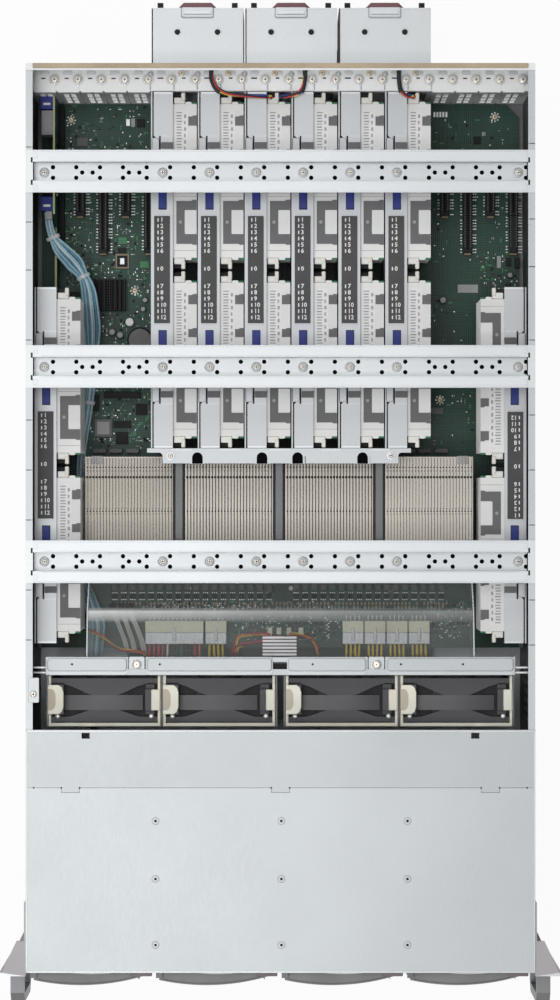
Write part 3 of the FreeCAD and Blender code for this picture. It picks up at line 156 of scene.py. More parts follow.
def sheet_metal(name, colour, metallic, rough, streak=(1.0, 0.12, 1.0), speckle=1500.0, contrast=0.10):
    """Rolled sheet: fine grain drawn out along the rolling direction, broad clouds, grain in the gloss."""
    material, tree, principled, coords = shader(name)
    grain = noise(tree, mapped(tree, coords, streak), speckle, 4.0, 0.7)
    clouds = noise(tree, coords, 9.0)
    inputs = {0: clouds, 1: 0.45, 2: spread(tree, grain, 0.0, 0.55)}
    both = node(tree, "Math", inputs, operation="MULTIPLY_ADD")
    shades = [(0.25, tint(colour, 1.0 - contrast)), (0.5, colour), (0.75, tint(colour, 1.0 + contrast))]
    fill(tree, principled, {
        "Base Color": ramp(tree, both, shades),
        "Roughness": spread(tree, grain, rough - 0.08, rough + 0.10),
        "Metallic": metallic,
        "Normal": bump(tree, grain, 0.06)})
    return material


def bare_metal(name, colour, metallic, rough):
    """Small metal parts with an even fine grain."""
    return sheet_metal(name, colour, metallic, rough, (1.0, 1.0, 1.0), 2600.0)


def moulded(name, colour, rough, grain=2500.0, relief=0.10, vary=0.12, coat=0.0, shine=0.5):
    """Moulded plastic: slight shade drift, spark-eroded grain."""
    material, tree, principled, coords = shader(name)
    clouds = noise(tree, coords, 30.0)
    fine = noise(tree, coords, grain, 2.0)
    fill(tree, principled, {
        "Base Color": ramp(tree, clouds, [(0.3, tint(colour, 1 - vary)), (0.7, tint(colour, 1 + vary))]),
        "Roughness": spread(tree, fine, rough - 0.06, rough + 0.08),
        "Coat Weight": coat,
        "Specular IOR Level": shine,
        "Normal": bump(tree, fine, relief)})
    return material


def tracks(tree, coords, turn, scale, dark, light, out):
    """Straight copper tracks along one direction of a board."""
    turned = node(tree, "Mapping", {"Vector": coords, "Rotation": (0.0, 0.0, math.radians(turn))})
    return node(tree, "TexBrick", {
        "Vector": turned, "Scale": scale, "Mortar Size": 0.022, "Brick Width": 1.4, "Row Height": 0.13,
        "Color1": (*dark, 1.0), "Color2": (*tint(dark, 1.5), 1.0), "Mortar": (*light, 1.0)}, out)


def circuit(name, dark, light):
    """Solder mask over copper: straight tracks seen through green, fine speckle of vias."""
    material, tree, principled, coords = shader(name)
    fields = node(tree, "TexVoronoi", {"Vector": coords, "Scale": 32.0}, "Color", distance="CHEBYCHEV")
    vias = node(tree, "TexVoronoi", {"Vector": coords, "Scale": 420.0}, "Distance")
    choice = node(tree, "MixRGB", {
        "Fac": ramp(tree, fields, [(0.48, grey(0.0)), (0.52, grey(1.0))]),
        "Color1": tracks(tree, coords, 0.0, 85.0, dark, light, "Color"),
        "Color2": tracks(tree, coords, 90.0, 70.0, dark, light, "Color")})
    mixed = node(tree, "MixRGB", {
        "Fac": spread(tree, noise(tree, coords, 40.0), 0.0, 0.8),
        "Color1": choice,
        "Color2": ramp(tree, vias, [(0.10, tint(light, 1.7)), (0.16, grey(0.0))])}, blend_type="LIGHTEN")
    relief = tracks(tree, coords, 0.0, 85.0, dark, light, "Fac")
    fill(tree, principled, {
        "Base Color": mixed,
        "Roughness": spread(tree, noise(tree, coords, 14.0, 2.0), 0.34, 0.48),
        "Specular IOR Level": 0.3,
        "Normal": bump(tree, relief, 0.12, 0.00005)})
    return material


def clear_plastic(name):
    """Clear sheet: mostly see-through, with a soft sheen and faint scuffs."""
    material, tree, principled, coords = shader(name)
    scuffs = noise(tree, mapped(tree, coords, (0.3, 1.0, 1.0)), 60.0, 4.0)
    see = node(tree, "BsdfTransparent", {"Color": (0.965, 0.975, 0.975, 1.0)})
    fill(tree, principled, {
        "Base Color": (0.85, 0.88, 0.88, 1.0),
        "Roughness": spread(tree, scuffs, 0.08, 0.2)})
    layered(tree, spread(tree, scuffs, 0.03, 0.08), see, principled.outputs["BSDF"])
    return material


GALVANISED = sheet_metal("galvanised", (0.50, 0.525, 0.54), 0.5, 0.42)
STRIP_SHEET = sheet_metal("strip_sheet", (0.455, 0.477, 0.492), 0.5, 0.42)
BOX_SHEET = sheet_metal("box_sheet", (0.61, 0.635, 0.65), 0.45, 0.42)
BRIGHT = sheet_metal("bright_sheet", (0.62, 0.64, 0.655), 0.45, 0.38)
TAB_SHEET = sheet_metal("tab_sheet", (0.91, 0.915, 0.915), 0.2, 0.5)
MODULE_SHEET = sheet_metal("module_sheet", (0.53, 0.55, 0.57), 0.45, 0.45, speckle=1900.0)
BRACE_SHEET = sheet_metal("brace_sheet", (0.63, 0.655, 0.67), 0.45, 0.40, (0.12, 1.0, 1.0))
EAR_PAINT = sheet_metal("ear_paint", (0.45, 0.425, 0.44), 0.2, 0.5)
HANDLE = sheet_metal("handle_metal", (0.25, 0.255, 0.265), 0.35, 0.42, (1.0, 1.0, 0.1))
STEEL = bare_metal("screw_steel", (0.84, 0.80, 0.72), 0.45, 0.30)
BRASS = bare_metal("brass", (0.74, 0.64, 0.47), 0.5, 0.32)
FINS = sheet_metal("heatsink_metal", (0.48, 0.44, 0.387), 0.3, 0.45, (1.0, 0.1, 1.0), 900.0, 0.14)
FIN_SHADE = sheet_metal("fin_shade", (0.26, 0.235, 0.20), 0.2, 0.6, (1.0, 0.1, 1.0), 900.0, 0.2)
FIN_LIGHT = sheet_metal("fin_light", (0.555, 0.515, 0.458), 0.3, 0.40, (1.0, 0.1, 1.0), 900.0)
DARK_STEEL = sheet_metal("dark_steel", (0.16, 0.16, 0.17), 0.6, 0.45)
GREEN = circuit("board_green", (0.006, 0.034, 0.022), (0.020, 0.088, 0.056))
EDGE_GREEN = moulded("card_edge", (0.55, 0.58, 0.32), 0.6)
STICK_GREEN = circuit("stick_green", (0.030, 0.16, 0.07), (0.07, 0.28, 0.13))
BLACK = moulded("black_plastic", (0.012, 0.012, 0.013), 0.55, shine=0.25)
# near-black with no shine: painted shade inside holes and notches
HOLE_SHADE = moulded("hole_shade_black", (0.004, 0.004, 0.005), 0.9, shine=0.05)
BAFFLE = moulded("baffle_grey", (0.066, 0.071, 0.076), 0.28, coat=0.4)
# near-black for the block inside each fan: painted shade seen through the gaps of the fan top
FAN_SHADE_BLACK = moulded("baffle_black", (0.026, 0.026, 0.029), 0.6, shine=0.3)
CHARCOAL = moulded("fan_charcoal", (0.064, 0.064, 0.071), 0.48, 1800.0)
# lighter copy of the fan charcoal for the barrel band: painted light where the barrel faces the lamps
CHARCOAL_LIT = moulded("fan_barrel_painted_lit", (0.086, 0.086, 0.092), 0.42, 1800.0)
CREAM = moulded("fan_cream", (1.0, 0.93, 0.78), 0.45)
# darker copy of the cream: painted shade in the hollow of the finger pull
IVORY_PAINTED_SHADE = moulded("pull_painted_shade", (0.60, 0.54, 0.42), 0.5)
IVORY = moulded("connector_ivory", (0.98, 0.89, 0.69), 0.5)
WHITE = moulded("stick_white", (0.90, 0.895, 0.88), 0.42, 3000.0, 0.05, 0.04)
LABEL = moulded("label_white", (0.96, 0.96, 0.955), 0.6, 3500.0, 0.04, 0.03)
PATCH = moulded("patch_grey", (0.16, 0.16, 0.165), 0.55)
PATCH_LIGHT = moulded("patch_light", (0.42, 0.42, 0.43), 0.6)
IVORY_LIGHT = moulded("ivory_light", (0.90, 0.88, 0.81), 0.5)
TIN = bare_metal("tin", (0.50, 0.51, 0.52), 0.7, 0.35)
TAN = moulded("ceramic_tan", (0.34, 0.26, 0.17), 0.5)
PLUG = moulded("plug_clear", (0.80, 0.80, 0.82), 0.35, coat=0.4)
SLEEVE = moulded("sleeve_black", (0.022, 0.022, 0.024), 0.6, 700.0, 0.4)
PLATE = moulded("plate_charcoal", (0.072, 0.072, 0.074), 0.6)
BLUE = moulded("latch_blue", (0.010, 0.028, 0.25), 0.5)
BURGUNDY = moulded("burgundy", (0.14, 0.012, 0.022), 0.4, coat=0.3)
LEVER = moulded("lever_grey", (0.26, 0.26, 0.262), 0.5)
LABEL_PIN = bare_metal("pin_metal", (0.85, 0.85, 0.84), 0.4, 0.3)
BUTTON = moulded("lever_button", (0.23, 0.185, 0.195), 0.45)
LEVER_DARK = moulded("lever_dark", (0.15, 0.15, 0.16), 0.5)
CRESCENT = moulded("lever_crescent", (0.93, 0.93, 0.93), 0.4)
RIB = moulded("ribbed_window", (0.52, 0.50, 0.52), 0.25, coat=0.6)
CLEAR_EDGE = moulded("shroud_edge", (0.60, 0.64, 0.66), 0.2, coat=0.6)
GASKET = moulded("gasket_tan", (0.55, 0.44, 0.31), 0.8, 1400.0, 0.35)
CABLE = moulded("cable_blue", (0.15, 0.34, 0.45), 0.28, 900.0, 0.05, 0.3, 0.6)
# lighter and whitish copies of the blue cable: painted light and painted highlights on the strands
CABLE_LIT = moulded("cable_painted_lit", (0.43, 0.65, 0.76), 0.26, 900.0, 0.05, 0.25, 0.6)
CABLE_HIGHLIGHT = moulded("cable_painted_highlight", (0.80, 0.90, 0.95), 0.24, 900.0, 0.05, 0.2, 0.6)
TIE = moulded("tie_white", (0.75, 0.77, 0.78), 0.4)
RIBBON = moulded("ribbon_grey", (0.66, 0.63, 0.57), 0.5)
CLEAR = clear_plastic("clear_sheet")
WIRE = {
    "red": moulded("wire_red", (0.62, 0.030, 0.05), 0.42),
    "orange": moulded("wire_orange", (0.85, 0.20, 0.03), 0.42),
    "yellow": moulded("wire_yellow", (0.95, 0.68, 0.05), 0.42),
    "blue": moulded("wire_blue", (0.04, 0.05, 0.32), 0.42),
    "white": moulded("wire_white", (0.88, 0.87, 0.84), 0.42),
    "green": moulded("wire_green", (0.03, 0.18, 0.06), 0.42),
    "grey": moulded("wire_grey", (0.36, 0.37, 0.36), 0.5),
    "black": moulded("wire_black", (0.018, 0.018, 0.020), 0.5),
    "maroon": moulded("wire_maroon", (0.20, 0.008, 0.014), 0.45),
}


# Mesh helpers, in millimetres

SQUARE = ((0, 0), (1, 0), (1, 1), (0, 1))
SIDES = (-1, 1)


def corner(facing, side, pair):
    """Signs of a corner on one side of an axis."""
    signs = list(pair)
    signs.insert(facing, side)
    return tuple(signs)


def turns(count):
    """Angles of equal steps round a circle."""
    return [2 * math.pi * step / count for step in range(count)]


def rounded(left, front, right, rear, radius, steps=4):
    """Outline of a rectangle with round corners."""
    points = []
    x0, x1 = left + radius, right - radius
    y0, y1 = front + radius, rear - radius
    for corner_x, corner_y, start in ((x1, y1, 0), (x0, y1, 90), (x0, y0, 180), (x1, y0, 270)):
        for step in range(steps + 1):
            angle = math.radians(start + 90 * step / steps)
            points.append((corner_x + radius * math.cos(angle), corner_y + radius * math.sin(angle)))
    return points


def arch(across, along, wide, deep, step):
    """Half an ellipse toward the rear."""
    angles = [math.radians(angle) for angle in range(0, 181, step)]
    return [(across + wide * math.cos(angle), along + deep * math.sin(angle)) for angle in angles]


def placed(item, body=ROOT, replaces=()):
    """Put an object into the scene, riding on a body."""
    bpy.context.scene.collection.objects.link(item)
    bpy.context.view_layer.update()
    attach(item, body)
    if replaces:
        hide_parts(*replaces)
    return item


class Shape:
    """A mesh being built: solids are added one after another, each with its material."""

    def __init__(self, name):
        self.name = name
        self.materials = []
        self.mesh = bmesh.new()

    def close(self, faces, material):
        """Give faces their material."""
        if material not in self.materials:
            self.materials.append(material)
        index = self.materials.index(material)
        for face in faces:
            face.material_index = index

    def block(self, low, high, material, bevel=0.0):
        """A block, its edges bevelled."""
        verts = {}
        for signs in itertools.product((0, 1), repeat=3):
            for facing in range(3):
                place = [(low, high)[sign][axis] + (axis != facing) * bevel * (1 - 2 * sign)
                         for axis, sign in enumerate(signs)]
                verts[signs, facing] = self.mesh.verts.new(place) if bevel or not facing else verts[signs, 0]
        loops = []
        for facing in range(3):
            first, second = [axis for axis in range(3) if axis != facing]
            for side in (0, 1):
                loops.append([verts[corner(facing, side, pair), facing] for pair in SQUARE])
            for pair in SQUARE if bevel else ():
                start, end = corner(facing, 0, pair), corner(facing, 1, pair)
                keys = ((start, first), (end, first), (end, second), (start, second))
                loops.append([verts[key] for key in keys])
        if bevel:
            for signs in itertools.product((0, 1), repeat=3):
                loops.append([verts[signs, facing] for facing in range(3)])
        self.close([self.mesh.faces.new(loop) for loop in loops], material)

    def prism(self, points, low, high, material, bevel=0.0):
        """An outline in the XY plane drawn up from one level to another, its top edge bevelled."""
        floor = [self.mesh.verts.new((across, along, low)) for across, along in points]
        roof = [self.mesh.verts.new((across, along, high)) for across, along in points]
        faces = [self.mesh.faces.new(list(reversed(floor))), self.mesh.faces.new(roof)]
        for index in range(len(points)):
            after = (index + 1) % len(points)
            faces.append(self.mesh.faces.new((floor[index], floor[after], roof[after], roof[index])))
        if bevel:
            edges = list(faces[1].edges)
            done = bmesh.ops.bevel(
                self.mesh, geom=edges, offset=bevel, segments=2, affect="EDGES", profile=0.6)
            faces = {face for vert in floor + done["verts"] if vert.is_valid for face in vert.link_faces}
        self.close([face for face in faces if face.is_valid], material)

    def blocks(self, origin, *rows):
        """Blocks about an origin: left, right, front, rear, bottom, top, material and bevel."""
        x, y, z = origin
        for left, right, front, rear, low, high, *finish in rows:
            self.block((x + left, y + front, z + low), (x + right, y + rear, z + high), *finish)

    def pads(self, origin, *rows):
        """Round-cornered prisms about an origin: left, right, front, rear, radius, bottom, top, finish."""
        x, y, z = origin
        for left, right, front, rear, radius, low, high, *finish in rows:
            self.prism(rounded(x + left, y + front, x + right, y + rear, radius), z + low, z + high, *finish)

    def skin(self, rows, material, loop=False):
        """A closed skin over a row of outlines, capped at both ends or joined to a loop."""
        rings = [[self.mesh.verts.new(point) for point in row] for row in rows]
        faces = []
        for here, there in zip(rings, rings[1:] + rings[:1] if loop else rings[1:]):
            for side in range(len(here)):
                after = (side + 1) % len(here)
                faces.append(self.mesh.faces.new((here[side], here[after], there[after], there[side])))
        if not loop:
            faces += [self.mesh.faces.new(list(reversed(rings[0]))), self.mesh.faces.new(rings[-1])]
        self.close(faces, material)
        return faces

    def turned(self, centre, profile, material, sides=20, level=False):
        """A solid turned about an upright or level axis from (radius, height) pairs."""
        rows = []
        for radius, height in profile:
            flat = [(radius * math.cos(angle), radius * math.sin(angle)) for angle in turns(sides)]
            row = [(x, height, y) if level else (x, y, height) for x, y in flat]
            rows.append([Vector(centre) + Vector(place) for place in row])
        self.skin(rows, material)

    def hoop(self, centre, radius, thick, material, sides):
        """A ring of wire about a level axis."""
        rows = []
        for angle in turns(sides):
            out = Vector((math.cos(angle), 0.0, math.sin(angle)))
            place = Vector(centre) + out * radius
            round_wire = [out * math.cos(turn) + Vector((0, math.sin(turn), 0)) for turn in turns(4)]
            rows.append([place + way * thick for way in round_wire])
        self.skin(rows, material, loop=True)

    def screw(self, across, along, level, radius, head=STEEL, dark=BLACK, arm=0.5):
        """A pan-head screw with its cross recess."""
        profile = ((1.0, 0.0), (1.0, 0.28), (0.86, 0.46), (0.55, 0.56))
        profile = [(radius * out, radius * up) for out, up in profile]
        self.turned((across, along, level), profile, head, 16)
        long, slim = radius * arm, radius * 0.13
        high = level + radius * 0.57
        for wide, deep in ((long, slim), (slim, long)):
            self.blocks((across, along, high), (-wide, wide, -deep, deep, -radius * 0.2, 0.0, dark))

    def finished(self):
        """The mesh in metres, with its materials."""
        bmesh.ops.recalc_face_normals(self.mesh, faces=self.mesh.faces)
        bmesh.ops.scale(self.mesh, vec=(MM, MM, MM), verts=self.mesh.verts)
        mesh = bpy.data.meshes.new(self.name)
        self.mesh.to_mesh(mesh)
        self.mesh.free()
        for material in self.materials:
            mesh.materials.append(material)
        return mesh

    def cut(self, name):
        """Take the mesh away from a CAD node, as a cutter that is not shown."""
        tool = bpy.data.objects.new(self.name, self.finished())
        bpy.context.scene.collection.objects.link(tool)
        tool.hide_render = True
        tool.hide_viewport = True
        modifier = nodes[name].modifiers.new("cuts", "BOOLEAN")
        modifier.operation = "DIFFERENCE"
        modifier.object = tool
        modifier.solver = "EXACT"

    def done(self, body=ROOT, replaces=(), slot=None):
        """Put the mesh into the scene, riding on a body."""
        return placed(bpy.data.objects.new(self.name, self.finished()), body, replaces)


# Cords

def add_run(curve, points, unit, radius, resolution):
    """A smooth spline with the points as its controls, as thick as the cord."""
    spline = curve.splines.new("NURBS")
    spline.points.add(len(points) - 1)
    for control, place in zip(spline.points, points):
        control.co = (*(value * unit for value in place), 1.0)
        control.radius = radius * unit
    spline.order_u = 3
    spline.use_endpoint_u = True
    spline.resolution_u = resolution


def cords(name, material, routes, radius, replaces=(), slot=None):
    """Round cords of one colour along smooth splines, as one piece."""
    curve = bpy.data.curves.new(name, "CURVE")
    curve.dimensions = "3D"
    for route in routes:
        add_run(curve, route, MM, radius, 5)
    curve.bevel_depth = 1.0
    curve.bevel_resolution = 2
    curve.use_fill_caps = True
    curve.materials.append(material)
    placed(bpy.data.objects.new(name, curve), ROOT, replaces)


def wound(route, turn, radius, rise, step_turn):
    """A path that winds about a route."""
    path = []
    for step, (x, y, z) in enumerate(route):
        angle = turn + step_turn * step
        level = z + rise * math.sin(turn + 1.1 * step)
        path.append((x + radius * math.cos(angle), y + radius * math.sin(angle), level))
    return path


# Finish of the CAD nodes

def soften(name, width, angle=40):
    """Bevel the edges of a CAD node."""
    modifier = nodes[name].modifiers.new("edges", "BEVEL")
    modifier.width = width * MM
    modifier.segments = 2
    modifier.limit_method = "ANGLE"
    modifier.angle_limit = math.radians(angle)


def paint(name, *materials):
    """Give a CAD node its materials."""
    mesh = nodes[name].data
    mesh.materials.clear()
    for material in materials:
        mesh.materials.append(material)


def repaint(name, index, inside):
    """Give the faces of a CAD node that lie in a place another of its materials."""
    for polygon in nodes[name].data.polygons:
        if inside(*(value / MM for value in polygon.center)):
            polygon.material_index = index


def numbered(name, count):
    """Names of numbered nodes."""
    return [f"{name}_{number}" for number in range(1, count + 1)]


def edges_of(name):
    """Lowest and highest corner of a CAD node in millimetres."""
    low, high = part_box(name)
    return [value / MM for value in low], [value / MM for value in high]


FINISH = {
    TAB_SHEET: ["rear_panel", "slot_covers"],
    GALVANISED: ["chassis_pan", "front_cover", "module_guide_plate", "drive_cage", *numbered("psu", 4)],
    STRIP_SHEET: ["cover_strip", "fan_cage_bar"],
    BOX_SHEET: numbered("rear_fan_housing", 3),
    BRACE_SHEET: ["cross_braces"],
    MODULE_SHEET: ["memory_covers", "memory_levers"],
    EAR_PAINT: ["rack_ears"],
    HANDLE: ["rack_handles"],
    GREEN: ["motherboard", "io_card", "memory_boards", "drive_backplane", "power_distribution_board"],
    BLACK: ["board_connectors"],
    FINS: ["heatsinks"],
    BAFFLE: ["air_baffle"],
    CLEAR: ["air_shroud"],
    WHITE: ["memory_sticks"],
    BLUE: ["memory_latches"],
    CHARCOAL: numbered("fan_housing", 4) + numbered("fan_rotor", 4) + numbered("rear_fan_rotor", 3),
    CREAM: numbered("fan_carrier", 4),
    DARK_STEEL: [*numbered("drive_carrier", 4), "lower_drive_carriers", "fan_cage", "board_tray"],
    LEVER: numbered("drive_lever", 4),
    CABLE: ["sas_cable_loom"],
    WIRE["grey"]: ["internal_wiring"],
    STEEL: ["screws"],
}
FINE_EDGES = ["front_cover", "cover_strip", "fan_cage_bar", "module_guide_plate", "memory_covers",
              "memory_levers", "rack_ears", *numbered("rear_fan_housing", 3)]
ROUND_EDGES = ["rack_handles", *numbered("fan_carrier", 4), *numbered("drive_lever", 4)]
for material, names in FINISH.items():
    for name in names:
        paint(name, material)
for name in FINE_EDGES:
    soften(name, 0.35)
for name in ROUND_EDGES:
    soften(name, 0.7)

# Places read from the CAD nodes

FRONT = edges_of("front_cover")[0][1]
REAR = edges_of("rear_panel")[1][1]
BACK = REAR - 1.2
SLOT_PITCH = 20.32
BOARD_FRONT = edges_of("motherboard")[0][1]
MODULE_REAR = edges_of("memory_covers")[1][1]
MODULE_HALF = 154.5
MODULE_MIDDLE = MODULE_REAR - MODULE_HALF
INNER_HALF = 217.3
BRACE_FLOOR = TOP - 12.8
BRACE_LINES = [REAR - 92.7 - 167.4 * step for step in range(3)]


def slot_centre(number):
    """Middle of an expansion slot."""
    return -0.9 + SLOT_PITCH * (number - 10)


# Rear wall

COVERED_SLOTS = (0, 1, 2, 3, 4, 17, 18, 19, 20)
SEAT = [(4.9, 0), (4.8, 0.35), (4.5, 0.45)]
DIMPLE = [(4.4, 0), (4.1, 0.6), (3.5, 0.75), (2.9, 0.35), (2.8, 0.3)]
BOSS = [(2.7, 0), (2.5, 0.9), (1.7, 1.5), (0.7, 1.8)]


def make_gasket():
    """Foam strip along the rear edge, in short lengths."""
    gasket = Shape("lid_gasket")
    gasket.pads((0.0, REAR, TOP), (-212.5, 212.5, -4.3, -0.1, 0.8, 0.0, 1.3, GASKET, 0.5))
    for step in range(53):
        gasket.blocks((8.0 * step - 208.0, REAR, TOP), (-3.7, 3.7, -3.8, -0.6, 1.0, 1.45, GASKET, 0.2))
    gasket.done()


def make_screws():
    """Screws of the slot flange, of the braces and of the rear panel."""
    screws = Shape("flange_screws")
    along = BACK - 8.75
    for number in range(21):
        across = slot_centre(number) + 8.16
        covered = number in COVERED_SLOTS or number + 1 in COVERED_SLOTS
        level = FLANGE + (0.9 if covered else 0.8)
        screws.turned((across, along, level), SEAT, BRIGHT, 18)
        screws.screw(across, along, level + 0.4, 3.7, STEEL, PATCH_LIGHT, 0.42)
    brace_places = [40.3 * (step - 2.5) - 0.6 for step in range(6)]
    brace_places += [spot(pixel, 500, BRACE_FLOOR)[0] for pixel in (44.4, 518.0)]
    for line in BRACE_LINES:
        for across in brace_places:
            screws.turned((across, line, BRACE_FLOOR), DIMPLE, BRACE_SHEET, 20)
            screws.screw(across, line, BRACE_FLOOR + 0.25, 2.4)
    for pixel in (181.8, 228.6, 275.0, 322.0, 369.3, 415.7):
        across = spot(pixel, 72, FLANGE)[0]
        screws.screw(across, BACK - 3.1, FLANGE, 2.9, BRASS, PATCH_LIGHT, 0.4)
    screws.done(replaces=["screws"], slot="screw_steel")


def make_flange():
    """Plates, seams, slits and bosses of the slot flange."""
    flange = Shape("flange_plates")
    slit = -8.75
    for number in range(4, 17):
        seam = (slot_centre(number) + 10.16, BACK, FLANGE)
        flange.blocks(seam, (-0.3, 0.3, -17.9, -5.4, -0.1, 0.4, PATCH_LIGHT))
    for number in range(5, 17):
        wide = 2.6 if number % 2 else 1.5
        origin = (slot_centre(number), BACK, FLANGE)
        flange.pads(origin,
                    (-9.6, 9.6, -18.3, -5.2, 0.8, 0.0, 0.8, TAB_SHEET, 0.25),
                    (-4.8, 2.8, -4.6, -1.0, 1.5, 0.0, 0.7, BRIGHT, 0.4))
        flange.blocks(origin, (-1.6 - wide, -1.6 + wide, slit + 0.6, slit + 1.8, 0.7, 0.83, BLACK))
        if number % 2:
            flange.turned((slot_centre(number) - 9.9, BACK - 4.0, FLANGE), BOSS, BRIGHT, 14)
    for number in COVERED_SLOTS:
        origin = (slot_centre(number), BACK, FLANGE)
        flange.pads(origin, (-4.6, 3.4, -4.4, -1.0, 1.5, 0.0, 0.7, BRIGHT, 0.4))
        flange.blocks(origin, (-3.4, 0.2, slit + 0.4, slit + 1.5, 0.85, 0.93, BLACK))
    flange.done()


# Braces

def hole_places():
    """Places of the small holes of a brace, across and along."""
    places = []
    for step in range(6):
        dimple = 162.1 + 47.04 * step
        for offset in (8.0, 31.7):
            if dimple + offset < 426:
                places += [(dimple + offset, -4.5), (dimple + offset, 4.5)]
    for start in (76.3, 123.0, 429.0, 476.0):
        places += [(start, -4.5), (start, 4.5), (start + 5.9, 0.0), (start + 16.3, 0.0)]
        places += [(start + 23.7, -4.5), (start + 23.7, 4.5)]
    for start in (53.0, 526.0):
        places += [(start, -4.5), (start, 4.5)]
    return [(spot(pixel, 500, BRACE_FLOOR)[0], along) for pixel, along in places]


def make_braces():
    """Real holes through the floor of each brace, a black cup under each as painted shade in the hole, and
    the ribs and hooks along it.
    """
    cutter = Shape("brace_cutter")
    rims = Shape("brace_rims")
    for line in BRACE_LINES:
        for across, along in hole_places():
            circle = [(1.95 * math.cos(angle), 1.95 * math.sin(angle)) for angle in turns(12)]
            circle = [(across + x, line + along + y) for x, y in circle]
            cutter.prism(circle, BRACE_FLOOR - 4, BRACE_FLOOR + 3, BLACK)
            shade_cup = (across, line + along, BRACE_FLOOR - 2.6)
            rims.turned(shade_cup, [(2.7, 0), (2.7, 0.7), (1.9, 0.8)], HOLE_SHADE, 12)
        for side in SIDES:
            rims.blocks((side * 213.2, line, TOP),
                        (-0.8, 0.8, -11.8, -7.4, -0.1, 0.06, BLACK),
                        (-0.8, 0.8, 7.4, 11.8, -0.1, 0.06, BLACK))
            rims.pads((side * 210.2, line, TOP),
                      (-1.7, 1.7, -15.5, -11.2, 0.7, 0.0, 0.5, BRACE_SHEET, 0.2),
                      (-1.7, 1.7, 11.2, 15.5, 0.7, 0.0, 0.5, BRACE_SHEET, 0.2))
            rib = (0.0, line + side * 8.7, TOP)
            rims.pads(rib, (-205.0, 205.0, -0.5, 0.5, 0.3, -0.2, 0.35, BRACE_SHEET, 0.2))
            edge = (0.0, line + side * 17.4, TOP)
            rims.pads(edge, (-212.0, 212.0, -0.7, 0.7, 0.4, -0.3, 0.3, BRACE_SHEET, 0.25))
    rims.done()
    cutter.cut("cross_braces")
    soften("cross_braces", 0.7, angle=60)


# Covers

COVER_SCREW = (
    (PATCH_LIGHT, 24, [(3.3, 0), (3.2, 0.1), (2.8, 0.12)]),
    (GALVANISED, 20, [(2.8, 0), (2.7, 0.2), (1.9, 0.22)]),
    (BLACK, 14, [(1.25, 0), (1.2, 0.25), (0.8, 0.26)]),
)


def make_covers():
    """Countersunk screws, seam dots and bright edges of the two covers."""
    screws = Shape("cover_screws")
    for pixel_x, pixel_y in itertools.product((155.5, 281.4, 407.5), (821, 879, 945)):
        for material, sides, profile in COVER_SCREW:
            screws.turned((*spot(pixel_x, pixel_y, TOP), TOP), profile, material, sides)
    for across in (-211.5, 211.5, -187.9, -172.1, -7.9, 7.9, 172.1, 187.9):
        screws.turned((across, FRONT + 158.65, TOP), [(0.8, 0), (0.78, 0.05), (0.6, 0.07)], BLACK, 10)
    screws.done()
    trim = Shape("cover_edges")
    for side in SIDES:
        trim.pads((side * 217.9, FRONT, TOP), (-0.6, 0.6, 1.0, 207.0, 0.5, -0.1, 0.25, BRIGHT, 0.2))
    trim.pads((0.0, FRONT, TOP),
              (-217.5, 217.5, 0.1, 1.6, 0.6, -0.1, 0.3, BRIGHT, 0.25),
              (-217.5, 217.5, 206.6, 208.0, 0.6, -0.1, 0.3, BRIGHT, 0.25))
    trim.done()


make_gasket()
make_screws()
make_flange()
make_braces()
make_covers()

# Memory modules

STICK_TOP = FLANGE - 3.6
STICK_INNER = 10.85
STICK_LENGTH = 133.4
PLATE_TOP = FLANGE + 0.8
NUMBER_SIZE = 5.2
OUTER_ACROSS = 213.3
OUTER_ALONG = MODULE_MIDDLE - 169.4
MODULE_TRIM = (
    (0.4, 7.0, 102.3, 114.5, -1.2, 0.0, MODULE_SHEET, 0.25),
    (1.2, 7.4, 114.6, 116.4, -2.4, -0.3, BLACK),
    (3.6, 5.0, 114.9, 116.1, -0.5, -0.2, BRASS),
    (7.1, 8.5, 102.6, 116.2, -1.6, 0.06, BLACK),
    (8.7, 19.2, 105.2, 110.8, 0.0, 0.9, PATCH, 0.3),
    (8.8, 18.9, 115.9, 116.4, 0.0, 0.2, BRIGHT),
    (2.8, 18.8, 152.6, 154.3, -0.2, 0.25, BRIGHT, 0.1),
    (6.5, 13.7, 52.2, 81.0, -0.3, 0.12, BLACK),
)
STICK_ENDS = (
    (35.4, 39.5, -0.6, 1.6, -3.4, -1.2, STICK_GREEN),
    (19.9, 29.4, 0.15, 5.6, -5.0, 0.9, IVORY_LIGHT, 0.5),
    (26.2, 29.6, 3.0, 9.8, -6.0, 1.8, IVORY_LIGHT, 0.6),
    (21.0, 25.0, 1.5, 4.2, 0.7, 1.0, WHITE, 0.1),
    (19.4, 26.0, 0.15, 9.0, -26.0, -5.5, BLACK),
)
STICK_HORN = ((39.4, 83.2), (36.0, 83.2), (35.0, 84.2), (21.9, 84.2), (21.9, 121.4), (35.2, 121.4),
              (36.2, 122.2), (39.4, 122.2), (39.4, 113.0), (29.2, 113.0), (29.2, 92.0), (39.4, 92.0))


def mirrored(way, rows):
    """Rows of blocks with front and rear turned about when the way is backward."""
    for left, right, near, far, *rest in rows:
        yield (left, right, *sorted((way * near, way * far)), *rest)


def figures(shape, words, place, size, material):
    """Plain numbers standing a hair above a plate."""
    data = bpy.data.curves.new("figures", "FONT")
    data.body = words
    data.size = size
    data.extrude = 0.05
    data.offset = 0.12
    data.resolution_u = 2
    data.align_y = "CENTER"
    item = bpy.data.objects.new("figures", data)
    mesh = bpy.data.meshes.new_from_object(item)
    mesh.transform(Matrix.Translation(place))
    before = set(shape.mesh.faces)
    shape.mesh.from_mesh(mesh)
    shape.close([face for face in shape.mesh.faces if face not in before], material)
    bpy.data.objects.remove(item)
    bpy.data.meshes.remove(mesh)
    bpy.data.curves.remove(data)


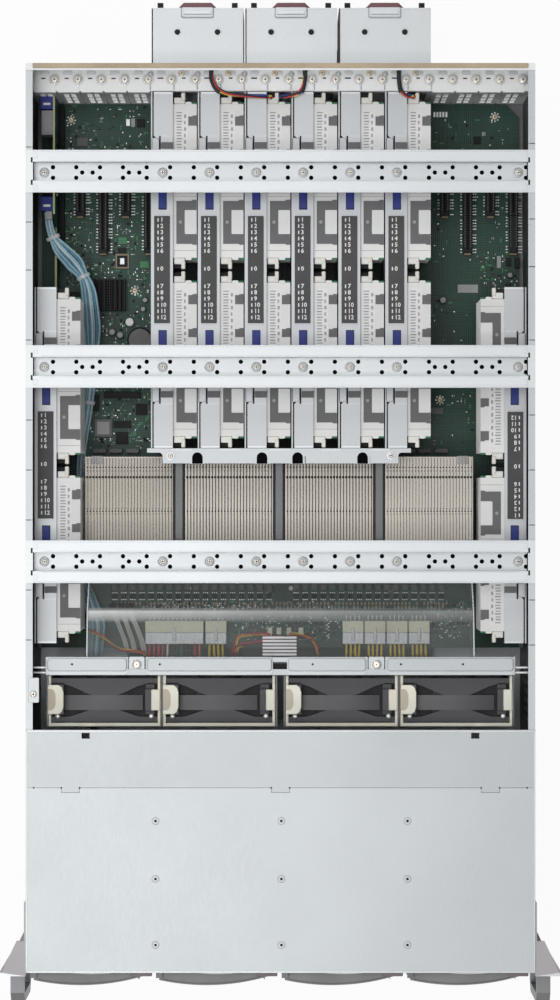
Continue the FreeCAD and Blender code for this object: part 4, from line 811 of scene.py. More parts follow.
def module_plate():
    """Charcoal number plate: a tick and a plain number for each stick, and one mark in the middle."""
    plate = Shape("memory_plate")
    plate.pads((0.0, 0.0, PLATE_TOP), (2.75, 16.45, -46.3, 46.7, 0.5, 0.0, 0.45, PLATE, 0.15))
    rows = [43.3 - 5.4 * step for step in range(6)] + [0.9] + [-14.3 - 5.4 * step for step in range(6)]
    numbers = [1, 2, 3, 4, 5, 6, 0, 7, 8, 9, 10, 11, 12]
    for along, number in zip(rows, numbers):
        plate.blocks((0.0, along, PLATE_TOP), (5.7, 6.7, -1.5, 1.5, 0.4, 0.5, LABEL))
        figures(plate, str(number), (8.2, along, PLATE_TOP + 0.46), NUMBER_SIZE, LABEL)
    return plate


def module_trim():
    """Fixed strips, finger pads, slits and latch frames at both ends of a module."""
    trim = Shape("memory_trim")
    for way in (1, -1):
        trim.blocks((0.0, 0.0, FLANGE), *mirrored(way, MODULE_TRIM))
        latch = (3.0, 16.0, 84.0, 100.5, 1.2, 0.0, 0.3, MODULE_SHEET, 0.2)
        trim.pads((0.0, 0.0, FLANGE), *mirrored(way, [latch]))
    return trim


def stick_face(shape, rear):
    """Marks on the top stick of a row: label, grey patches, pad, end latches; rear is its rear end."""
    origin = (0.0, rear, STICK_TOP)

    def plate(left, right, start, end, height, material, radius=0.3):
        """A thin plate on the stick, by its distances from the rear end."""
        shape.pads(origin, (left, right, -end, -start, radius, -0.2, height, material))

    def patch(outline):
        """A grey patch on the stick, by its distances from the rear end."""
        points = [(across, rear - along) for across, along in outline]
        shape.prism(points, STICK_TOP - 0.2, STICK_TOP + 0.5, PATCH)

    plate(21.5, 31.8, 5.0, 77.0, 0.12, LABEL, 0.6)
    for step in range(27):
        start = 7.0 + 2.5 * step
        plate(22.0, 26.4 if step % 3 else 27.0, start, start + 0.9 + 0.3 * (step % 2), 0.2, PATCH_LIGHT, 0.1)
    for step in range(11):
        start = 9.0 + 5.6 * step
        plate(28.6, 30.4 - 0.5 * (step % 2), start, start + 3.0, 0.2, PATCH_LIGHT, 0.1)
    for start, end in ((9.9, 18.7), (39.4, 47.2)):
        patch([(32.3, end), (32.3, start + 0.9), (35.5, start + 0.9), (36.5, start), (39.5, start),
               (39.5, end)])
    patch(STICK_HORN)
    plate(29.2, 39.5, 92.1, 112.9, 0.9, LABEL, 1.4)
    shape.turned((25.4, rear - 102.5, STICK_TOP + 0.4), [(1.5, 0), (1.45, 0.15), (1.2, 0.2)], PATCH_LIGHT, 14)
    for along in (77.8, 80.0, 127.0):
        plate(20.0, 39.5, along, along + 0.35, 0.12, PATCH_LIGHT, 0.1)
    for end, way in ((rear, 1), (rear - STICK_LENGTH, -1)):
        key = (29.6, 35.2, -1.0, 2.0, 1.2, -2.6, 0.1, WHITE, 0.3)
        shape.pads((0.0, end, STICK_TOP), *mirrored(way, [key]))
        shape.blocks((0.0, end, STICK_TOP), *mirrored(way, STICK_ENDS))


def module_sticks():
    """What shows on the two top sticks of a module."""
    sticks = Shape("memory_stick_faces")
    stick_face(sticks, STICK_INNER + STICK_LENGTH)
    stick_face(sticks, -STICK_INNER)
    return sticks


def make_memory():
    """Dress all eight modules with copies of the same three meshes."""
    places = [(9.6 + 2 * SLOT_PITCH * (index - 3), MODULE_MIDDLE, 0.0) for index in range(6)]
    places += [(-OUTER_ACROSS, OUTER_ALONG, 0.0), (OUTER_ACROSS, OUTER_ALONG, 180.0)]
    for build in (module_plate, module_trim, module_sticks):
        shape = build()
        mesh = shape.finished()
        for index, (across, along, turn) in enumerate(places, start=1):
            item = bpy.data.objects.new(f"{shape.name}_{index}", mesh)
            shift = Matrix.Translation((across * MM, along * MM, 0.0))
            item.matrix_world = shift @ Matrix.Rotation(math.radians(turn), 4, "Z")
            placed(item)


make_memory()

# Main board

SMALL_PARTS = [(0.7, 1.4, 0.5, PATCH_LIGHT), (0.9, 1.7, 0.5, BLACK), (0.9, 1.7, 0.6, TAN),
               (0.7, 1.4, 0.5, TIN), (1.8, 2.6, 1.0, BLACK), (0.7, 1.5, 0.5, LABEL),
               (0.8, 3.2, 0.3, STICK_GREEN), (1.2, 4.0, 0.3, STICK_GREEN), (0.7, 1.4, 0.4, TIN),
               (0.8, 1.6, 0.4, STICK_GREEN), (0.6, 2.4, 0.3, PATCH_LIGHT)]
SMALL_GRID = 1.6
SLOT_REACH = {1: 56.0, 2: 89.0, 3: 56.0, 4: 89.0, 17: 56.0, 18: 89.0, 19: 56.0, 20: 89.0}
SLOT_END = REAR - 65.6
SINKS = [87.6 * (index - 1.5) - 1.2 for index in range(4)]
SINK_FRONT = BOARD_FRONT + 60.9
HUB_DEPTH = 28.0
HUB_ACROSS = -0.7 * INNER_HALF
HUB_FRONT = MODULE_MIDDLE - 1.1 * HUB_DEPTH
STAR_SCREWS = ((71, 120.4), (135, 290.8), (494.9, 117), (72, 395), (440, 400), (500, 440))
BOARD_PARTS = [
    (60.5, 106, 64.5, 150, 8.0, BLACK), (60.5, 195, 64.5, 247, 8.0, BLACK), (137, 119, 145, 127, 1.8, BLACK),
    (126, 119, 130, 126, 1.0, TIN), (131, 118.5, 135, 127, 0.9, PATCH_LIGHT), (77, 138, 88, 146, 1.2, PATCH),
    (115.5, 254, 129, 268.5, 2.2, TAN), (117, 255.5, 127.5, 267, 2.7, BLACK, 0.1),
    (119.8, 258, 124.6, 264.5, 3.0, TIN, 0.3), (117.8, 248, 126, 252.5, 2.0, BLACK),
    (118, 237, 127, 244, 1.0, STICK_GREEN), (140, 261, 149, 268, 1.4, STICK_GREEN),
    (105, 238, 110, 252, 2.4, BLACK), (66.5, 250, 73, 268, 5.0, BLACK), (67, 292, 79, 314, 6.5, BLACK),
    (94.5, 419, 112, 437, 2.2, PATCH, 0.3), (97, 421.5, 109.5, 434.5, 2.7, PATCH_LIGHT, 0.3),
    (113.5, 421, 131, 428, 1.8, BLACK), (116, 432, 128, 444, 2.0, BLACK), (88, 395, 99, 411, 5.0, BLACK),
    (104, 392, 140, 398, 7.0, BLACK), (136, 404, 147, 415, 1.8, BLACK), (473.6, 136.6, 481, 144, 1.8, BLACK),
    (482, 132, 485.5, 136, 0.9, PATCH_LIGHT), (457.8, 284.6, 478, 292.7, 0.25, PATCH_LIGHT, 0.0),
    (506, 258, 511, 266, 3.0, BLACK), (515, 258, 520, 268, 6.0, BLACK),
    (497, 256, 501, 268, 0.5, PATCH_LIGHT), (422, 408, 443, 414, 0.4, PATCH, 0.0),
]
BOARD_PARTS += [(left, 448.6, left + 13, 453.0, 8.0, PATCH, 0.4) for left in (93, 402, 109, 418, 126, 435)]
BOARD_PARTS += [(433.5 + 3 * step, 112, 435.3 + 3 * step, 117, 0.8, TIN, 0.0) for step in range(5)]
CAPACITORS = ((129.5, 322, 3.6, 9), (112, 332, 3.0, 8), (120, 335, 3.0, 8), (145, 300, 2.4, 6),
              (143, 309, 2.4, 6), (443, 300, 3.0, 8), (510, 275, 2.6, 7), (428, 412, 3.2, 9),
              (428, 420, 3.2, 9))
STREWN = ((57, 106, 150, 150, 110), (66, 195, 150, 288, 420), (84, 289, 150, 345, 260),
          (84, 388, 150, 450, 260), (431, 112, 515, 150, 26), (431, 196, 516, 262, 60),
          (480, 255, 519, 290, 70), (431, 290, 475, 345, 14), (412, 388, 475, 450, 40))
STREWN_FRONT = ((205, 602, 343, 640, 420), (430, 602, 470, 640, 140), (146, 602, 205, 612, 90))


def area(left, top, right, bottom, level):
    """Left, front, right and rear of a rectangle of the photograph on a level."""
    x0, y1 = spot(left, top, level)
    x1, y0 = spot(right, bottom, level)
    return x0, y0, x1, y1


def scatter(shape, rng, left, top, right, bottom, count, keep_out):
    """Small parts strewn over a rectangle of the photograph, square to the board."""
    x0, y0, x1, y1 = area(left, top, right, bottom, BOARD)
    for _ in range(count):
        across = round(rng.uniform(x0, x1) / SMALL_GRID) * SMALL_GRID
        along = round(rng.uniform(y0, y1) / SMALL_GRID) * SMALL_GRID
        if any(left < across < right and front < along < rear for left, front, right, rear in keep_out):
            continue
        wide, deep, high, material = rng.choice(SMALL_PARTS)
        if rng.random() < 0.5:
            wide, deep = deep, wide
        shape.blocks((across, along, BOARD), (-wide / 2, wide / 2, -deep / 2, deep / 2, 0.0, high, material))


def slot_rows(shape, keep_out):
    """Pads beside the expansion slots, their end clips and the grey teeth of their grooves."""
    for number, length in SLOT_REACH.items():
        centre = slot_centre(number) + 5.2
        origin = (centre, SLOT_END, BOARD)
        keep_out.append((centre - 8.5, SLOT_END - length - 4, centre + 8.5, SLOT_END + 4))
        shape.blocks(origin, (-3.0, 3.0, -length - 1.6, -length - 0.05, 0.0, 8.5, TAN, 0.3))
        if number == 20:
            shape.blocks(origin, (-3.0, 3.0, -length, -55.0, 0.0, 11.0, BLACK, 0.3))
        for side, step in itertools.product((-5.4, 5.6, 7.4), range(int(length / 2.6))):
            if (step * 7 + number) % 5:
                pad = (centre + side, SLOT_END - 2 - 2.6 * step, BOARD)
                shape.blocks(pad, (-0.75, 0.75, -0.45, 0.45, 0.0, 0.5, TIN if step % 3 else LABEL))
        for step in range(int((length - 8) / 2.2) + 1):
            for side in (-2.5, 2.5):
                tooth = (centre + side, SLOT_END - 4 - 2.2 * step, BOARD)
                shape.blocks(tooth, (-0.35, 0.35, -0.5, 0.5, 10.9, 11.08, PATCH))


def star_screw(shape, pixel_x, pixel_y):
    """A board screw on its ring of plated pads."""
    across, along = spot(pixel_x, pixel_y, BOARD)
    for angle in turns(8):
        place = (across + 3.7 * math.cos(angle), along + 3.7 * math.sin(angle), BOARD)
        shape.turned(place, [(0.8, 0), (0.75, 0.12), (0.5, 0.15)], LABEL, 8)
    shape.screw(across, along, BOARD, 2.7, BRASS)


def capacitor(shape, across, along, radius, height, body, top):
    """A round can with a paler top."""
    can = [(radius, 0), (radius, height - 0.4), (radius - 0.4, height)]
    shape.turned((across, along, BOARD), can, body, 18)
    cap = [(radius * 0.75, 0), (radius * 0.7, 0.3), (0.4, 0.3)]
    shape.turned((across, along, BOARD + height - 0.2), cap, top, 18)


def battery(shape, across, along):
    """A coin cell in its round holder."""
    shape.turned((across, along, BOARD), [(11.5, 0), (11.5, 2.6), (10.8, 3.0)], BLACK, 32)
    cell = [(10.2, 0), (10.2, 1.7), (9.8, 2.0), (6.0, 2.0), (5.8, 2.1)]
    shape.turned((across, along, BOARD + 2.8), cell, PATCH, 32)
    shape.blocks((across, along, BOARD), (-1.6, 1.6, -11.8, -6.0, 0.0, 5.6, TIN, 0.3))


def make_board():
    """Chips, capacitors, battery, chokes and small parts of the main board."""
    rng = random.Random(7)
    board = Shape("board_parts")
    keep_out = []
    slot_rows(board, keep_out)
    for place in STAR_SCREWS:
        star_screw(board, *place)
    for left, top, right, bottom, height, material, *bevel in BOARD_PARTS:
        x0, y0, x1, y1 = area(left, top, right, bottom, BOARD + height)
        board.block((x0, y0, BOARD), (x1, y1, BOARD + height), material, *(bevel or [0.2]))
        keep_out.append(area(left - 1, top - 1, right + 1, bottom + 1, BOARD))
    across, along = spot(140, 340, BOARD + 5)
    battery(board, across, along)
    keep_out.append((across - 12, along - 12, across + 12, along + 12))
    for index, (pixel_x, pixel_y, radius, height) in enumerate(CAPACITORS):
        across, along = spot(pixel_x, pixel_y, BOARD + height)
        finish = (DARK_STEEL, PATCH_LIGHT) if index else (WHITE, LABEL)
        capacitor(board, across, along, radius, height, *finish)
        keep_out.append((across - 4, along - 4, across + 4, along + 4))
    keep_out.append((HUB_ACROSS - 15, HUB_FRONT - 1, HUB_ACROSS + 15, HUB_FRONT + HUB_DEPTH + 1))
    for column, row in itertools.product(range(8), range(12)):
        pin = (HUB_ACROSS - 13.3 + 3.8 * column, HUB_FRONT + 1.2 + 2.33 * row, BOARD)
        board.blocks(pin, (-0.75, 0.75, -0.8, 0.8, 3.0, 11.3, BLACK))
    for zone in STREWN:
        scatter(board, rng, *zone, keep_out)
    add_regulators(board, rng)
    for zone in STREWN_FRONT:
        scatter(board, rng, *zone, [])
    board.done()


def add_regulators(board, rng):
    """Chokes, capacitors and pads between the heatsinks and the front edge of the board."""
    rear = SINK_FRONT - 1.5
    for step in range(37):
        across = -148.0 + 8.1 * step
        if -10.0 < across < 14.0:
            continue
        board.blocks((across, rear, BOARD),
                     (-3.0, 3.0, -8.4, -2.4, 0.0, 5.0, PATCH, 0.8),
                     (-2.4, 2.4, -16.0, -11.0, 0.0, 1.2, BLACK, 0.1),
                     *[(pin - 0.4, pin + 0.4, -17.0, -10.0, 0.0, 0.4, TIN) for pin in (-1.8, 0.0, 1.8)])
    for step in range(92):
        middle = TAN if step % 3 else PATCH_LIGHT
        for along, material in ((rear - 20.0, TAN), (rear - 23.6, middle), (rear - 28.0, STICK_GREEN)):
            if rng.random() < 0.82:
                pad = (-152.0 + 3.3 * step, along, BOARD)
                board.blocks(pad, (-0.8, 0.8, -1.4, 1.4, 0.0, 0.9, material))
    for pixel in (269.5, 390.7):
        board.screw(*spot(pixel, 589, BOARD), BOARD, 4.0, DARK_STEEL)
    for pixel in (189.0, 291.0):
        board.turned((*spot(pixel, 588, BOARD), BOARD), [(2.2, 0), (2.2, 4.0), (1.6, 4.6)], LABEL, 14)


# Ribbons

def band(shape, path, wide, inner, outer, material):
    """A flat closed band along a path that runs forward and down."""
    corners = ((-0.5, inner), (0.5, inner), (0.5, outer), (-0.5, outer))
    rows = [[(x + side * wide, y - lift, z + lift) for side, lift in corners] for x, y, z in path]
    shape.skin(rows, material)


def make_ribbons():
    """Flat grey ribbons from headers on the board, over its front edge and down."""
    ribbons = Shape("front_ribbons")
    for start, end, wide in ((112.5, 127.0, 4.0), (121.5, 134.5, 4.2), (129.5, 144.0, 4.6)):
        x0, y0 = spot(start, 608, BOARD + 6)
        x1 = spot(end, 650, BOARD + 6)[0]
        half = wide / 2 + 1.0
        ribbons.blocks((x0, y0, BOARD), (-half, half, -1.0, 4.0, 0.0, 6.5, BLACK, 0.4))
        run = ((0.0, 0.0, 5.6), (0.15, -6.0, 7.0), (0.5, -17.0, 6.0), (0.85, -29.0, 4.4))
        path = [(x0 + share * (x1 - x0), y0 + along, BOARD + height) for share, along, height in run]
        drop = ((-2.0, 3.0), (-4.6, 0.5), (-5.2, -8.0), (-5.4, 30.5 - BOARD))
        path += [(x1, BOARD_FRONT + along, BOARD + height) for along, height in drop]
        band(ribbons, path, wide, 0.0, 0.4, RIBBON)
        band(ribbons, path, 0.5, 0.3, 0.5, PATCH_LIGHT)
    ribbons.done()


# Power connectors, their plugs and wires

CONNECTORS = [(-94.4, 51.0, 12), (-57.4, 18.0, 4), (64.6, 18.0, 4), (84.2, 18.0, 4), (103.8, 18.0, 4),
              (123.4, 18.0, 4)]
MAIN_WIRES = ["red", "red", "red", "red", "white", "black", "black", "green", "black", "black", "red",
              "orange"]
REAR_LEADS = ((-60.02, 53.0), (21.26, -22.0), (102.54, 14.0))
PLUG_FRONT = BOARD_FRONT + 4.3
THREE = ("red", "yellow", "orange")
FRONT_LEADS = [
    (THREE, [(86, 629, 0.3), (88, 630, 14), (92, 631.5, 24), (100, 634.5, 25), (107, 640.5, 24),
             (114, 646, 17), (122, 650.5, 9), (132, 650.5, 8), (140, 651.5, 8), (146, 654.5, 6),
             (147, 655.5, -4), (147, 655.5, -19.2)]),
    (THREE, [(270, 634, 6), (266, 634.5, 8), (258, 634, 6), (248, 635, 5), (240, 635.5, 4.5), (236.5, 640, 4),
             (236, 650, 3), (236, 655, -3), (236, 655.5, -19.2)]),
    (("red", "maroon", "red"), [
        (279, 635, 6), (275, 638, 8), (266, 640.5, 6), (256, 642.5, 5), (246, 644, 4.5), (236, 645.5, 4),
        (232, 650, 3), (231.6, 655, -3), (231.5, 655.5, -19.2)]),
    (("yellow", "red", "orange"), [
        (289, 634, 6), (292, 633.5, 8), (300, 634.5, 6), (308, 637, 5), (314, 641, 4.5), (317, 647, 4),
        (317.5, 653, 2), (317.5, 655.5, -4), (317.5, 655.5, -19.2)]),
    (("yellow", "black"), [
        (242, 647, 2), (238.5, 647.5, 8), (237.5, 651, 9), (239.5, 654.5, 6), (241, 655.5, -3),
        (241, 655.5, -19.2)]),
]


def power_wire(across, sway, deck):
    """Route of a wire from its plug over the board's front edge and down."""
    level = BOARD + 9.6 - 3.6 * deck
    bend = BOARD_FRONT - 8.6 + 2.4 * deck
    foot = BOARD_FRONT - 8.0 + deck
    return [(across, PLUG_FRONT + 1.0, level), (across + 0.3 * sway, BOARD_FRONT - 2.0, level + 0.2),
            (across + sway, bend, level - 1.0), (across + sway, bend + 0.3, level - 12.0),
            (across + 0.5 * sway, foot, 38.0), (across, foot, 30.4)]


def make_power_wiring():
    """Ivory headers with clear plugs, coloured wires over the board's edge, leads of the rear fans."""
    plugs = Shape("power_plugs")
    routes = {}
    rng = random.Random(3)
    for centre, width, ways in CONNECTORS:
        half = width / 2
        plugs.blocks((centre, PLUG_FRONT, BOARD),
                     (-half - 0.4, half + 0.4, 9.6, 20.0, 0.0, 13.5, IVORY, 0.4),
                     (-half - 0.3, half + 0.3, -0.6, 9.5, 1.2, 13.4, PLUG, 0.4),
                     (-1.4, 1.4, 2.0, 14.0, 13.2, 15.2, WHITE, 0.5))
        pitch = (width - 2.6) / ways
        for way in range(ways):
            across = centre - half + 1.3 + pitch * (way + 0.5)
            plugs.blocks((across, PLUG_FRONT, BOARD),
                         (-0.5, 0.5, 20.0, 24.5, 0.0, 0.7, WHITE, 0.15),
                         (pitch / 2 - 0.2, pitch / 2 + 0.2, -0.7, 8.0, 3.0, 13.6, TIN))
            for deck in (0, 1):
                colour = MAIN_WIRES[way] if ways > 4 else "yellow"
                route = power_wire(across, rng.uniform(-0.8, 0.8), deck)
                routes.setdefault(colour, []).append(route)
    plugs.done()
    for start, run in REAR_LEADS:
        rear_lead(routes, start, run)
    dressed = {"replaces": ["internal_wiring"], "slot": "wire_mix"}
    for colour, paths in routes.items():
        cords(f"wires_{colour}", WIRE[colour], paths, 1.0, **dressed)
        dressed = {}


def rear_lead(routes, start, run):
    """Four thin wires of a rear fan, wound about the lead's route, and their sleeve at the wall."""
    bend = math.copysign(2.6, run)
    end = start + run
    down = MODULE_REAR - 4.6
    height = FLANGE + 6.0
    low = BOARD + 0.3
    route = [(start, REAR, height), (start, REAR - 11, height - 0.2),
             (start + 0.15 * run, down + 3.2, height), (start + 0.5 * run, down + 0.6, height - 0.3),
             (end - bend, down + 0.1, height - 1), (end - 0.2 * bend, down, height - 9),
             (end, down + 0.2, height - 22), (end + 0.4, down, height - 42),
             (end, down + 0.2, (height - 42 + low) / 2), (end + 0.3, down + 0.1, low)]
    for turn, colour in zip(turns(4), ("red", "yellow", "blue", "black")):
        path = wound(route, turn, 0.9, 0.7, 1.3)
        path[-1] = (route[-1][0] + 0.8 * math.cos(turn), route[-1][1] + 0.8 * math.sin(turn), low)
        routes.setdefault(colour, []).append(path)
    sleeve = [(start, REAR, height), (start, REAR - 6, height - 0.1), (start, REAR - 11, height - 0.2),
              (start + 0.08 * run, down + 5.5, height - 0.1), (start + 0.14 * run, down + 3.6, height)]
    cords(f"lead_sleeve_{int(start)}".replace("-", "m"), SLEEVE, [sleeve], 1.9)


def make_front_leads():
    """Small ivory headers by the front edge of the board and the thin twisted leads from them."""
    headers = Shape("fan_headers")
    for pixel in (270.0, 279.0, 289.0, 301.0):
        headers.blocks((*spot(pixel, 631.5, BOARD + 7), BOARD),
                       (-2.2, 2.2, -2.6, 3.6, 0.0, 7.2, IVORY, 0.4),
                       (-1.6, 1.6, -3.6, -2.5, 0.0, 6.6, WHITE, 0.2),
                       *[(pin - 0.3, pin + 0.3, 0.6, 1.4, 7.0, 8.6, TIN) for pin in (-1.1, 0.0, 1.1)])
    headers.done()
    routes = {}
    for colours, places in FRONT_LEADS:
        route = [(*spot(x, y, BOARD + height), BOARD + height) for x, y, height in places]
        for turn, colour in zip(turns(len(colours)), colours):
            path = wound(route, turn, 1.0, 0.8, 0.9)
            for end in (0, -1):
                path[end] = (*path[end][:2], route[end][2])
            routes.setdefault(colour, []).append(path)
    for colour, paths in routes.items():
        cords(f"front_leads_{colour}", WIRE[colour], paths, 0.75)


make_board()
make_ribbons()
make_power_wiring()
make_front_leads()

# Drive cable loom

LOOM_LEFT = -INNER_HALF
LOOM_STRANDS = 16
LOOM_RUN = [(12.9, 0.0, 54), (13.7, 0.052, 53.6), (22, 0.107, 52), (36, 0.151, 47), (47, 0.21, 37),
            (49, 0.286, 27), (50, 0.368, 17), (48, 0.464, 8), (46, 0.588, 4.1), (39, 0.726, 4.0),
            (38, 0.863, 4.3), (38.6, 1.0, 4.1)]
LOOM_REACH = [(0.0, 0.7), (0.06, 0.9), (0.10, 1.9), (0.16, 2.3), (0.20, 1.2), (0.24, 1.9), (0.32, 2.3),
              (0.40, 1.5), (0.50, 1.0), (0.62, 0.7), (0.72, 0.9), (0.80, 2.2), (0.84, 2.0), (0.90, 0.9),
              (1.0, 0.6)]
# strands in three tones of one cable, the lighter and whitish ones as painted highlights
LOOM_COLOURS = (CABLE_LIT, CABLE, CABLE_HIGHLIGHT, CABLE_LIT, CABLE)


def loom_points():
    """Points along the route of the loom, read from its smooth spline."""
    rear = MODULE_REAR - 101.2
    span = rear - BOARD_FRONT - 94.0
    route = [(LOOM_LEFT + offset, rear - span * share, BOARD + height) for offset, share, height in LOOM_RUN]
    across = LOOM_LEFT + 49.3
    drop = BOARD_FRONT - 10.2
    route += [(LOOM_LEFT + 39, BOARD_FRONT + 66, BOARD + 5.1), (LOOM_LEFT + 45, BOARD_FRONT + 36, BOARD + 13),
              (across, drop, BOARD + 16.4), (across, drop - 0.4, 19), (across, BOARD_FRONT - 56.2, 18.6),
              (across - 0.6, FRONT + 174.6, 19.4)]
    guide = bpy.data.curves.new("loom_guide", "CURVE")
    guide.dimensions = "3D"
    add_run(guide, route, 1.0, 1.0, 3)
    item = bpy.data.objects.new("loom_guide", guide)
    mesh = bpy.data.meshes.new_from_object(item)
    places = [vert.co.copy() for vert in mesh.vertices]
    bpy.data.objects.remove(item)
    bpy.data.meshes.remove(mesh)
    bpy.data.curves.remove(guide)
    return places


def loom_width(share):
    """How far the strands fan out at a share of the route."""
    pairs = zip(LOOM_REACH, LOOM_REACH[1:])
    (start, low), (end, high) = next(pair for pair in pairs if share <= pair[1][0])
    return low + (high - low) * (share - start) / (end - start)


def strand_path(places, sideways, upward):
    """Path of one strand beside the route."""
    path = []
    last = len(places) - 1
    for index, place in enumerate(places):
        ahead = places[min(index + 1, last)] - places[max(index - 1, 0)]
        level = Vector((ahead.x, ahead.y, 0.0))
        if level.length < 0.5:
            level = Vector((0.0, -1.0, 0.0))
        level.normalize()
        normal = Vector((-level.y, level.x, 0.0))
        width = loom_width(index / last)
        point = place + normal * sideways * 3.6 * width
        point.x += 8.0 * max(0.0, 1.0 - abs(place.y - BOARD_FRONT - 22.0) / 44.0)
        point.z += upward * 2.4 * min(width, 1.4)
        if point.y > BOARD_FRONT:
            point.z = max(point.z, BOARD + 1.3)
        path.append(tuple(point))
    return path


def make_loom():
    """Steel-blue strands fanning and gathering along the route, some lighter and whitish as painted
    highlights, with ties where they are gathered.
    """
    places = loom_points()
    rng = random.Random(11)
    sorts = {CABLE_LIT: [], CABLE: [], CABLE_HIGHLIGHT: []}
    for strand in range(LOOM_STRANDS):
        sideways = -1.0 + 2.0 * (strand % 8 + 0.5) / 8 + rng.uniform(-0.06, 0.06)
        upward = (strand // 8) - 0.5 + rng.uniform(-0.15, 0.15)
        sorts[LOOM_COLOURS[strand % 5]].append(strand_path(places, sideways, upward))
    cords("loom_lit_strands", CABLE_LIT, sorts[CABLE_LIT], 0.95, ["sas_cable_loom"], "cable_blue")
    cords("loom_dark_strands", CABLE, sorts[CABLE], 0.95)
    cords("loom_highlight_strands", CABLE_HIGHLIGHT, sorts[CABLE_HIGHLIGHT], 0.95)
    ties = Shape("loom_ties")
    for share in (0.075, 0.205, 0.46):
        index = int(share * (len(places) - 1))
        centre = places[index]
        ahead = (places[index + 1] - places[index - 1]).normalized()
        half = ahead * 1.5
        wide = 3.6 * loom_width(share) + 1.6
        normal = Vector((-ahead.y, ahead.x, 0.0)).normalized()
        rows = []
        for angle in turns(16):
            outer = centre + normal * wide * math.cos(angle) + Vector((0, 0, 3.4)) * math.sin(angle)
            inner = centre + (outer - centre) * 0.85
            rows.append([inner - half, inner + half, outer + half, outer - half])
        ties.skin(rows, TIE, loop=True)
        ties.blocks(centre, (-1.8, 1.8, -1.8, 1.8, 2.4, 4.8, TIE, 0.4))
    ties.done()


# Heatsinks, guide plate, shroud and card

FIN_PITCH = 2.718
FIN_COUNT = 29
FIN_NOTCHES = ((467.4, 0.55, 0.55, BLACK), (471.0, 0.5, 0.6, FIN_SHADE), (477.2, 1.05, 0.95, BLACK),
               (508.6, 0.5, 0.5, FIN_SHADE), (511.2, 0.6, 0.55, BLACK), (514.0, 0.45, 0.5, FIN_SHADE))
BEND = SINK_FRONT - 25.0


def make_sinks():
    """Folded fin tops, notch rows and clips of the heatsinks; the dark sink of the hub chip."""
    top = BOARD + 62.0
    rear = SINK_FRONT + 109.0
    paint("heatsinks", FINS, BLACK)
    repaint("heatsinks", 1, lambda x, y, z: -170 < x < -134 and y > MODULE_MIDDLE - 35)
    sinks = Shape("heatsink_tops")
    for centre, cap, face in zip(SINKS, (2.2, 1.8, 1.8, 2.25), (FINS, FIN_LIGHT, FIN_LIGHT, FIN_LIGHT)):
        # dark fill below the fin tops: painted shade in the gaps between the fins
        low = (centre - 38.3, SINK_FRONT + 0.4, top - 9.0)
        sinks.block(low, (centre + 38.3, rear - 0.4, top - 1.4), FIN_SHADE)
        for step in range(FIN_COUNT):
            across = centre - 38.05 + FIN_PITCH * step
            right = min(across + cap - 0.4, centre + 38.5)
            low = (across - 0.4, SINK_FRONT + 0.2, top - 0.6)
            sinks.block(low, (right, rear - 0.2, top + 0.12), face, 0.1)
        for step, (pixel, wide, deep, shade) in itertools.product(range(FIN_COUNT - 1), FIN_NOTCHES):
            notch = (centre - 36.55 + FIN_PITCH * step, spot(280, pixel, top)[1], top)
            sinks.blocks(notch, (-wide, wide, -deep, deep, -0.5, 0.2, shade))
        for along in (rear - 0.9, SINK_FRONT + 0.9):
            sinks.blocks((centre, along, top), (-38.4, 38.4, -0.5, 0.5, -3.0, 0.2, FIN_LIGHT, 0.1))
    for pixel, step in itertools.product((97.0, 463.0), range(4)):
        across, along = spot(pixel, 460, top)
        clip = (across + 2.5 * step, along, top)
        sinks.blocks(clip, (-4.9, -2.7, -3.6, 3.6, -0.2, 0.7, PATCH_LIGHT, 0.2))
    sinks.done()


def make_guide_plate():
    """Corner cuts, arched notches and screws of the plate that guides the modules."""
    low, high = edges_of("module_guide_plate")
    cutter = Shape("guide_cutter")
    line = spot(280, 452.6, FLANGE)[1]
    for side, pixel in ((-1, 162.6), (1, 398.2)):
        edge = spot(pixel, 455, FLANGE)[0]
        left, right = sorted((edge, side * (max(-low[0], high[0]) + 4.0)))
        outline = rounded(left, low[1] - 8.0, right, line, 3.0)
        cutter.prism(outline, low[2] - 5.0, high[2] + 5.0, GALVANISED)
    cutter.cut("module_guide_plate")

    plate = Shape("guide_plate_screws")
    for pixel in ((170.5, 456), (391, 455.5)):
        across, along = spot(*pixel, FLANGE)
        plate.turned((across, along, FLANGE), [(4.0, 0), (3.8, 0.5), (3.2, 0.55)], BRIGHT)
        plate.screw(across, along, FLANGE + 0.4, 2.4)
    for pixel in (197.4, 262.0, 297.6, 362.6):
        across, along = spot(pixel, 463.6, FLANGE)
        plate.blocks((across, along, FLANGE), (-6.2, 6.2, -0.1, 10.6, -0.7, 0.04, GALVANISED))
        notch = [(across + 4.6, along), *arch(across, along + 5.2, 4.6, 4.6, 20), (across - 4.6, along)]
        # black arch for each notch: the opening with painted shade in it
        plate.prism(notch, FLANGE - 0.3, FLANGE + 0.1, HOLE_SHADE)
    for pixel in (182.0, 230.0, 280.0, 332.0, 380.0):
        ridge = (*spot(pixel, 450.0, FLANGE), FLANGE)
        plate.pads(ridge, (-9.0, 9.0, -0.6, 0.6, 0.5, 0.0, 0.3, BRIGHT, 0.15))
    plate.done()


